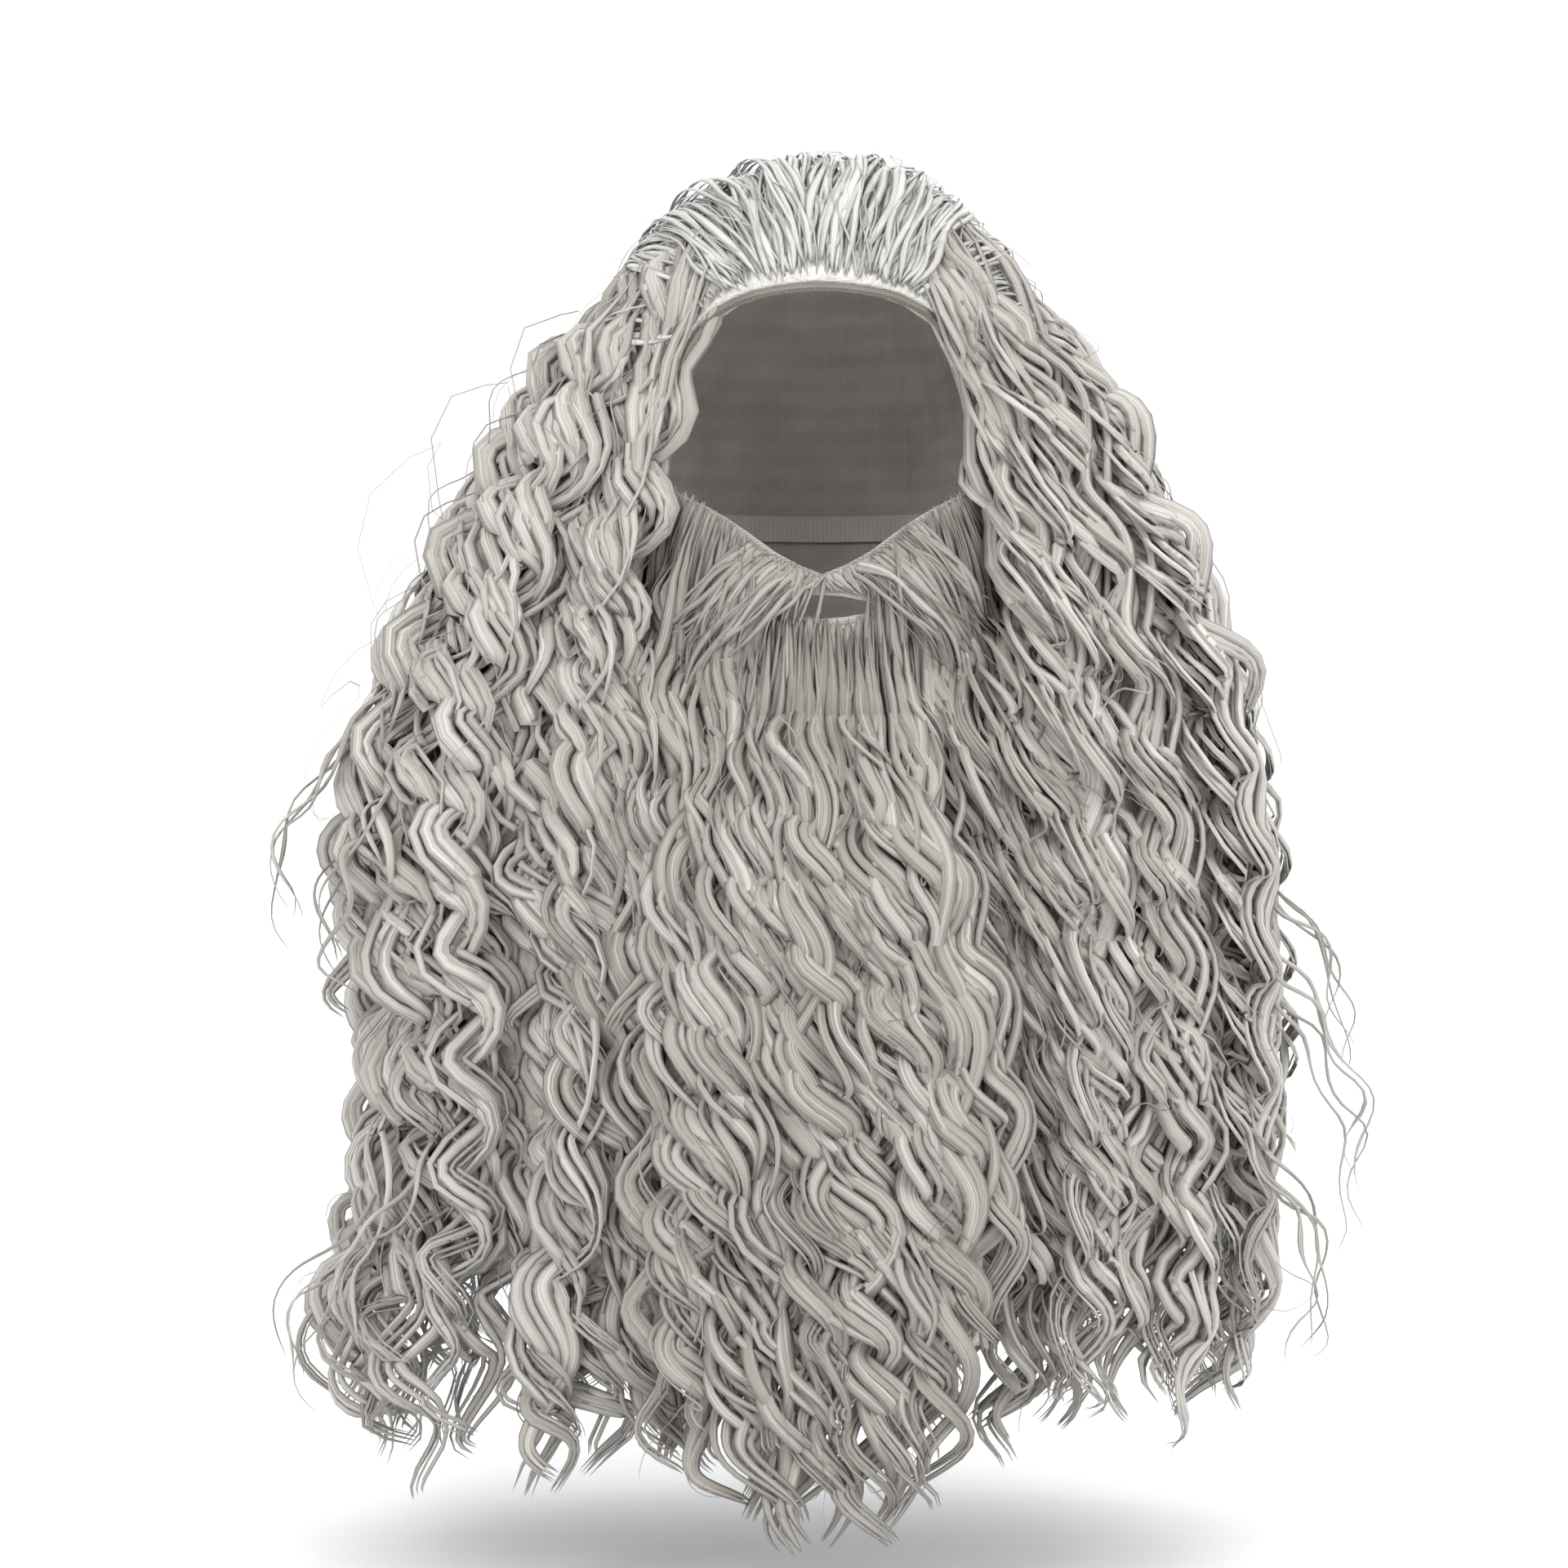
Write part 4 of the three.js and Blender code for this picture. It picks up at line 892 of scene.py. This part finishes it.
fallHair("left_strands", falls["left"], (40, 58, 110, 120), ["left_hair"])
fallHair("right_strands", falls["right"], (40, 58, 110, 120), ["right_hair"])
fallHair("back_strands", falls["back"], (38, 54, 60, 60), ["back_hair"])


# Beard hair
cheek = {"share": 0.7, "top": 0.262, "rootVary": 0.006}
beardParts = {
    "chin": {
        "span": (-0.4, 0.4),
        "spread": (-0.62, 0.62),
        "share": 0.91,
        "top": 0.353,
        "hem": 0.93,
        "seed": 31,
        "rootVary": 0.03,
    },
    "leftCheek": {
        **cheek,
        "span": (-0.92, -0.28),
        "spread": (-0.9, -0.44),
        "hem": 0.9,
        "seed": 32,
    },
    "rightCheek": {
        **cheek,
        "span": (0.28, 0.92),
        "spread": (0.44, 0.92),
        "hem": 0.88,
        "seed": 33,
    },
}
beardLook = {
    "thickness": 13,
    "girth": 8.5,
    "ribbon": 7.0,
    "flat": 0.28,
    # painted shade: how much darker the beard's locks are towards their roots
    "shade": 0.4,
    "roots": 70,
}
beardWaves = {
    "period": 58,
    "sway": 7,
    "bob": 4.5,
    "drift": 7,
    "twist": 0.4,
    "flick": 0.4,
    "roll": 0.3,
}
beardFine = {"reach": (0.3, 0.55), "apart": 7, "lift": 2.5, "own": 5}
beardFlying = {"reach": (0.15, 0.4), "apart": 9, "lift": 4, "own": 9}
slit = {"half": 26, "bow": 5, "down": 179}


def beardPoint(side, z, share, startZ, offset):
    down = (hair["aboveCrown"] - z) / hair["length"]
    x = side * hair["beardHalfWidth"] * read(beardLevels, "down", "wide", down)
    front = hair["front"] * read(hairLevels, "down", "front", down)
    far = points(x, -front * share * (1 - 0.2 * side * side), z)
    level = np.maximum(z, -head["height"])
    reach = headPoint(np.full_like(x, math.pi / 2), level, offset)[..., 0]
    u = np.arcsin(np.minimum(0.985, np.abs(x) / reach)) * np.sign(x)
    near = headPoint(u, level, offset)
    near[..., 0], near[..., 2] = x, np.broadcast_to(z, x.shape)
    return near + (far - near) * ease((startZ - z) / (hair["length"] * 0.13))[..., None]


def beardTop(part, side):
    if part["top"] > 0.3:
        x = side * hair["beardHalfWidth"] * 0.8 / slit["half"]
        return -slit["down"] - slit["bow"] * np.clip(1 - x * x, -0.4, 1) - 1
    x = np.minimum(0.97, np.abs(side) * hair["beardHalfWidth"] * 0.72 / head["halfWidth"])
    return -head["height"] * read(backingEdges, "angle", "top", np.degrees(np.arcsin(x))) - 0.6


def beardGuide(part, across, run, away):
    across, run = np.broadcast_arrays(across, run)
    middle = 1 - abs(part["spread"][0] + part["spread"][1]) / 2
    high = mix(part["span"][0], part["span"][1], across)
    wide = mix(part["spread"][0], part["spread"][1], across)
    side = mix(high, wide, ease(run * 1.6))
    topZ = beardTop(part, high)
    hemZ = levelZ(part["hem"] + 0.03 * middle * (1 - np.abs(2 * across - 1)))
    z = mix(topZ, hemZ, run)
    p = beardPoint(side, z, part["share"], topZ - 15, seat["beard"] + away)
    p[..., 1] -= away * ease(run * 4 - 0.3)
    return p


def beardPaths(part, count, rows, reach, rng):
    t = np.linspace(0, 1, rows)[None, :]
    across = ((rng.permutation(count) + rng.uniform(0, 1, count)) / count)[:, None]
    across = np.clip(across + rng.normal(0, 0.05, (count, 1)) * t, -0.03, 1.03)
    if reach:
        start = rng.uniform(0.03, 0.98 - reach[0], (count, 1))
        stop = np.minimum(start + rng.uniform(reach[0], reach[1], (count, 1)), 1.02)
        root = 0.3
    else:
        start = rng.uniform(-0.008, part["rootVary"], (count, 1))
        stop = 1.0 - 0.45 * rng.uniform(0, 1, (count, 1)) ** 1.8
        root = 0.7
    run = mix(start, stop, t)
    level = rng.uniform(0.35, 1.0, (count, 1)) * beardLook["thickness"]
    away = np.maximum(level * mix(root, 1, ease(t * 3)) * ease(run * 7 + 0.22), 0.9)
    base = beardGuide(part, across, run, away)
    side = mix(part["span"][0], part["span"][1], across)
    out = unit(points(side * 0.7, -1, 0 * t) + 0 * base)
    return base, out


def rootBundle(part, rng):  # short strands along the upper edge
    count, rows = beardLook["roots"], 14
    t = np.linspace(0, 1, rows)[None, :]
    across = ((rng.permutation(count) + rng.uniform(0, 1, count)) / count)[:, None]
    across = across + rng.normal(0, 0.03, (count, 1)) * t
    run = rng.uniform(-0.006, 0.008, (count, 1)) + rng.uniform(0.09, 0.24, (count, 1)) * t
    away = rng.uniform(1.2, 3.2, (count, 1)) * mix(0.6, 1, ease(run * 12))
    base = beardGuide(part, across, run, away)
    side = mix(part["span"][0], part["span"][1], across)
    out = unit(points(side * 0.7, -1, 0 * t) + 0 * base)
    # the last value is painted shade: these short strands are darker towards their roots
    return thinBundle(base, out, (0.05, 0.7), (1.4, 3.6), 0.35, (0.3, 0.95), rng, 1, 0.3)


def beardHair(name, part, counts, replaced):
    rng = np.random.default_rng(part["seed"])
    bundles, paths, faces = [], [], []
    for n, each, rows, reach, root in [
        (counts[0], 5, 60, None, 0.07),
        (counts[1], 4, 32, (0.24, 0.45), 0.18),
    ]:
        base, out = beardPaths(part, n, rows * 3, reach, rng)
        path, face = waved(base, out, {**beardWaves, "grow": 50 if reach else 150}, rng)
        paths.append(path)
        faces.append(face)
        bundles.append(lockBundle(path, face, each, rows, beardLook, root, rng))
    bundles.append(rootBundle(part, rng))
    sorts = [(counts[2], 38, beardFine, (0.6, 1.4)), (counts[3], 26, beardFlying, (0.35, 0.6))]
    bundles += looseBundles(paths, faces, sorts, rng)
    across, run = np.meshgrid(np.linspace(0.02, 0.98, 36), np.linspace(0.006, 0.84, 44))
    ripple = 1 + 0.12 * np.sin(across * 36 + 2 * np.sin(run * 20))
    deep = beardLook["thickness"] * 0.3 * ease(run * 5) * ripple
    front = beardGuide(part, across, run, np.maximum(deep, 0.7))
    rear = beardGuide(part, across, run, np.zeros_like(run))
    rear[..., 1] += 4 * ease(run * 4 - 0.3) * (1 - ease((run - 0.7) / 0.14))
    return hairPiece(name, (front, rear), bundles, [beardFibre, underhairPaintedShade], replaced)


beardHair("left_cheek_strands", beardParts["leftCheek"], (15, 20, 45, 45), ["left_cheek_hair"])
beardHair("right_cheek_strands", beardParts["rightCheek"], (15, 20, 45, 45), ["right_cheek_hair"])
beardHair("chin_strands", beardParts["chin"], (28, 44, 90, 110), ["chin_hair"])

moustacheSize = {
    "spread": 30,
    "reach": 52,
    "drop": 74,
    "lift": 11,
    "locks": 26,
    "fine": 150,
    "lip": 150,
    "bareRight": 10,
}
moustacheWaves = {"period": 70, "grow": 90, "sway": 3.5, "bob": 1.8, "drift": 3, "twist": 0.3}
moustacheFine = {"period": 55, "grow": 70, "sway": 4, "bob": 2, "drift": 5, "loose": 2}


# From the top edge of the backing, swept to both sides over the slit's ends
def moustachePaths(count, rows, rng):
    t = np.linspace(0, 1, rows)[None, :]
    hand = np.where(np.arange(count) % 2, 1, -1)[:, None]
    place = rng.uniform(0, 1, (count, 1))
    rootX = np.where(hand > 0, moustacheSize["bareRight"], 0.5) + moustacheSize["spread"] * place
    edge = read(backingEdges, "angle", "top", np.degrees(np.arcsin(rootX / head["halfWidth"])))
    rootZ = -head["height"] * edge - rng.uniform(0.5, 4, (count, 1))
    reach = moustacheSize["reach"] * mix(1, 0.75, place) * rng.uniform(0.8, 1.15, (count, 1))
    x = hand * (rootX + reach * np.sin(np.minimum(1, t) * 1.35))
    drop = moustacheSize["drop"] * rng.uniform(0.65, 1.1, (count, 1))
    z = rootZ - drop * t ** mix(1.45, 1.15, place)
    reachable = head["halfWidth"] + moustacheSize["lift"]
    u = np.arcsin(np.minimum(0.985, np.abs(x) / reachable)) * np.sign(x)
    lift = moustacheSize["lift"] * mix(0.12, 1, ease(t * 1.8)) * rng.uniform(0.4, 1.15, (count, 1))
    base = headPoint(u, z, 2.4 + lift)
    base[..., 0] = x
    return base, unit(points(hand * 0.35, -1, 0.1) + 0 * base)


# Short strands from the middle of the edge, a few of them across the slit
def lipPaths(count, rows, rng):
    t = np.linspace(0, 1, rows)[None, :]
    hand = np.where(np.arange(count) % 2, 1, -1)[:, None]
    rootX = rng.uniform(-1, 20, (count, 1))
    edge = read(backingEdges, "angle", "top", np.degrees(np.arcsin(np.abs(rootX) / head["halfWidth"])))
    rootZ = -head["height"] * edge - rng.uniform(0, 1.5, (count, 1))
    x = hand * (rootX + rng.uniform(3, 13, (count, 1)) * t**1.3)
    bow = slit["bow"] * np.clip(1 - ((rootX + 8) / slit["half"]) ** 2, 0, 1)
    drop = rootZ + slit["down"] - bow
    crosses = (hand < 0) & (rng.uniform(0, 1, (count, 1)) < 0.3)
    over = np.where(crosses, rng.uniform(10, 22, (count, 1)), 0)
    z = rootZ - (drop * rng.uniform(0.68, 0.94, (count, 1)) + over) * t
    lift = rng.uniform(0.8, 2.6, (count, 1)) + over * 0.12 * t
    base = headPoint(np.arcsin(x / head["halfWidth"]), z, 2.4 + lift)
    base[..., 0] = x
    return base, unit(points(hand * 0.2, -1, 0.1) + 0 * base)


def moustacheHair():
    rng = np.random.default_rng(41)
    base, out = moustachePaths(moustacheSize["locks"], 22, rng)
    path, face = ribbons(*waved(base, out, moustacheWaves, rng), 4, 4.6, rng)
    bundles = [thinBundle(path, face, (0.05, 0.6), (2.2, 4.6), 0.28, (0.25, 1.0), rng, 4)]
    base, out = moustachePaths(moustacheSize["fine"], 20, rng)
    path, face = waved(base, out, moustacheFine, rng)
    bundles.append(thinBundle(path, face, (0.06, 0.7), (0.5, 1.3), 0.7, (0.4, 1.0), rng))
    base, out = lipPaths(moustacheSize["lip"], 10, rng)
    bundles.append(thinBundle(base, out, (0.05, 0.5), (1.4, 3.4), 0.4, (0.3, 1.0), rng))
    replaced = ["moustache_hair"]
    return hairPiece("moustache_strands", None, bundles, [beardFibre], replaced)


moustacheHair()


# Stitches along the hairline, on the sewn edge
stitches = {"reach": 50, "count": 58, "length": 3.2, "wide": 0.55, "above": 5.35}


def hairlineStitches():
    degrees = np.linspace(-stitches["reach"], stitches["reach"], stitches["count"])[:, None]
    t = np.linspace(-0.5, 0.5, 6)[None, :]
    turn = degrees + t * stitches["length"] / 80 * 57
    z = capEdgeZ(turn) - 0.7 + 0.9 * t * np.where(np.arange(stitches["count"]) % 2, 1, -1)[:, None]
    path = headPoint(np.radians(turn), z, stitches["above"] - 1.4 * (2 * t) ** 4)
    face = unit(path - np.array([0, 0, -head["crownToWidest"]]))
    wide = stitches["wide"] + 0 * path[..., 0]
    rng = np.random.default_rng(61)
    thread = bundle(path, face, wide, wide, 4, (0.2, 0.4), rng)
    return hairPiece("hairline_stitches", None, [thread], [threadPaint], [])


threadPaint, wire, shader = newMaterial("dark_thread")
shader.inputs["Base Color"].default_value = (0.16, 0.145, 0.12, 1)
shader.inputs["Roughness"].default_value = 0.8
hairlineStitches()


# Cloth parts
def clothMaterial(name, look):
    material, wire, shader = newMaterial(name)
    place = wire.node("ShaderNodeTexCoord", {}, {}, "Object")

    def wave(direction, scale, rest):
        sockets = {"Vector": place, "Scale": scale, **rest}
        return wire.node("ShaderNodeTexWave", {"bands_direction": direction}, sockets, "Fac")

    bent = {"Distortion": 1.5, "Detail": 1.0}
    weave = wave("X", look["rib"], bent) * 0.5 + wave("Z", look["row"], bent) * 0.5
    if look.get("weft"):
        weave = weave * 0.8 + wave("Z", look["weft"], {"Distortion": 0.8}) * 0.2
    patch = wire.node("ShaderNodeTexNoise", {}, {"Vector": place, "Scale": 40.0, "Detail": 4.0})
    value = weave * 0.45 + patch * 0.55
    colour = wire.node("ShaderNodeValToRGB", {"stops": look["stops"]}, {"Fac": value})
    connect(colour, shader, "Base Color")
    connect(patch * 0.15 + 0.75, shader, "Roughness")
    bump = wire.node("ShaderNodeBump", {}, {"Height": weave, "Strength": 0.6, "Distance": 0.0006})
    connect(bump, shader, "Normal")
    shader.inputs["Specular IOR Level"].default_value = 0.2
    return material


knit = {"rib": 260.0, "row": 330.0, "weft": 27.0}
sewn = {"rib": 420.0, "row": 420.0}
for nodeName, name, look, dark, pale in [
    ("wig_cap", "cap_knit", knit, (0.34, 0.318, 0.285), (0.6, 0.572, 0.525)),
    ("front_binding", "binding_weave", sewn, (0.15, 0.136, 0.115), (0.32, 0.298, 0.262)),
    ("beard_backing", "backing_knit", {"rib": 300.0, "row": 300.0}, (0.4, 0.375, 0.34), (0.6, 0.57, 0.525)),
    ("beard_strap", "woven_elastic", {"rib": 150.0, "row": 620.0}, (0.55, 0.52, 0.47), (0.74, 0.71, 0.66)),
]:
    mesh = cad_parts[nodeName].data
    mesh.materials.clear()
    mesh.materials.append(clothMaterial(name, {**look, "stops": [(0.2, dark), (0.8, pale)]}))
print("cloth finished")

# Studio: a pale floor, soft lights and the camera
studio = {
    "floorBelow": 0.03,
    "distance": 1.66,
    "lens": 85.5,
    "height": 0.02,
    "aside": -0.016,
    "middle": -0.2545,
}
lowest = min(cadBox[0][2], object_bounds()[0][2])
bpy.ops.mesh.primitive_plane_add(size=9, location=(0, -1, lowest - studio["floorBelow"]))
floor = bpy.context.object
floor.name = "studio_floor"
bpy.ops.object.mode_set(mode="EDIT")
bpy.ops.mesh.select_mode(type="EDGE")
bpy.ops.mesh.select_all(action="DESELECT")
bpy.ops.object.mode_set(mode="OBJECT")
for edge in floor.data.edges:
    edge.select = all(floor.data.vertices[v].co.y > 1 for v in edge.vertices)
bpy.ops.object.mode_set(mode="EDIT")
bpy.ops.mesh.extrude_region_move(TRANSFORM_OT_translate={"value": (0, 0, 6)})
bpy.ops.object.mode_set(mode="OBJECT")
for edge in floor.data.edges:
    ends = [floor.data.vertices[v].co for v in edge.vertices]
    edge.select = all(end.y > 1 and end.z < 0.1 for end in ends)
bpy.ops.object.mode_set(mode="EDIT")
bpy.ops.mesh.bevel(offset=2.2, segments=24, affect="EDGES")
bpy.ops.object.mode_set(mode="OBJECT")
bpy.ops.object.transform_apply(location=True, rotation=True, scale=True)
bpy.ops.object.shade_smooth()
floorPaint, wire, shader = newMaterial("pale_floor")
shader.inputs["Base Color"].default_value = (0.86, 0.865, 0.87, 1)
shader.inputs["Roughness"].default_value = 0.9
floor.data.materials.append(floorPaint)

world = bpy.data.worlds.new("studio_air")
world.use_nodes = True
world.node_tree.nodes["Background"].inputs["Color"].default_value = (0.97, 0.98, 1.0, 1)
world.node_tree.nodes["Background"].inputs["Strength"].default_value = 1.25
scene.world = world

middle = (0, 0, studio["middle"])
for name, place, size, power in [
    ("key_light", (-0.9, -1.8, 1.0), 1.0, 13),
    ("fill_light", (1.4, -1.5, 0.7), 1.2, 12),
    ("top_light", (0.2, -0.3, 1.6), 1.4, 9),
    ("rear_light", (0.3, 1.8, 0.9), 1.4, 9),
]:
    lamp = bpy.data.lights.new(name, "AREA")
    lamp.size = size
    lamp.energy = power
    body = bpy.data.objects.new(name, lamp)
    scene.collection.objects.link(body)
    body.location = place
    aim = np.array(middle) - np.array(place)
    tip = math.atan2(math.hypot(aim[0], aim[1]), -aim[2])
    body.rotation_euler = (tip, 0, math.atan2(aim[1], aim[0]) - math.pi / 2)

lens = bpy.data.cameras.new("camera")
lens.lens = studio["lens"]
camera = bpy.data.objects.new("camera", lens)
scene.collection.objects.link(camera)
camera.location = (studio["aside"], -studio["distance"], middle[2] + studio["height"])
camera.rotation_euler = (math.radians(90) - math.atan2(studio["height"], studio["distance"]), 0, 0)
scene.camera = camera
scene.view_settings.view_transform = "Standard"

print("studio ready")
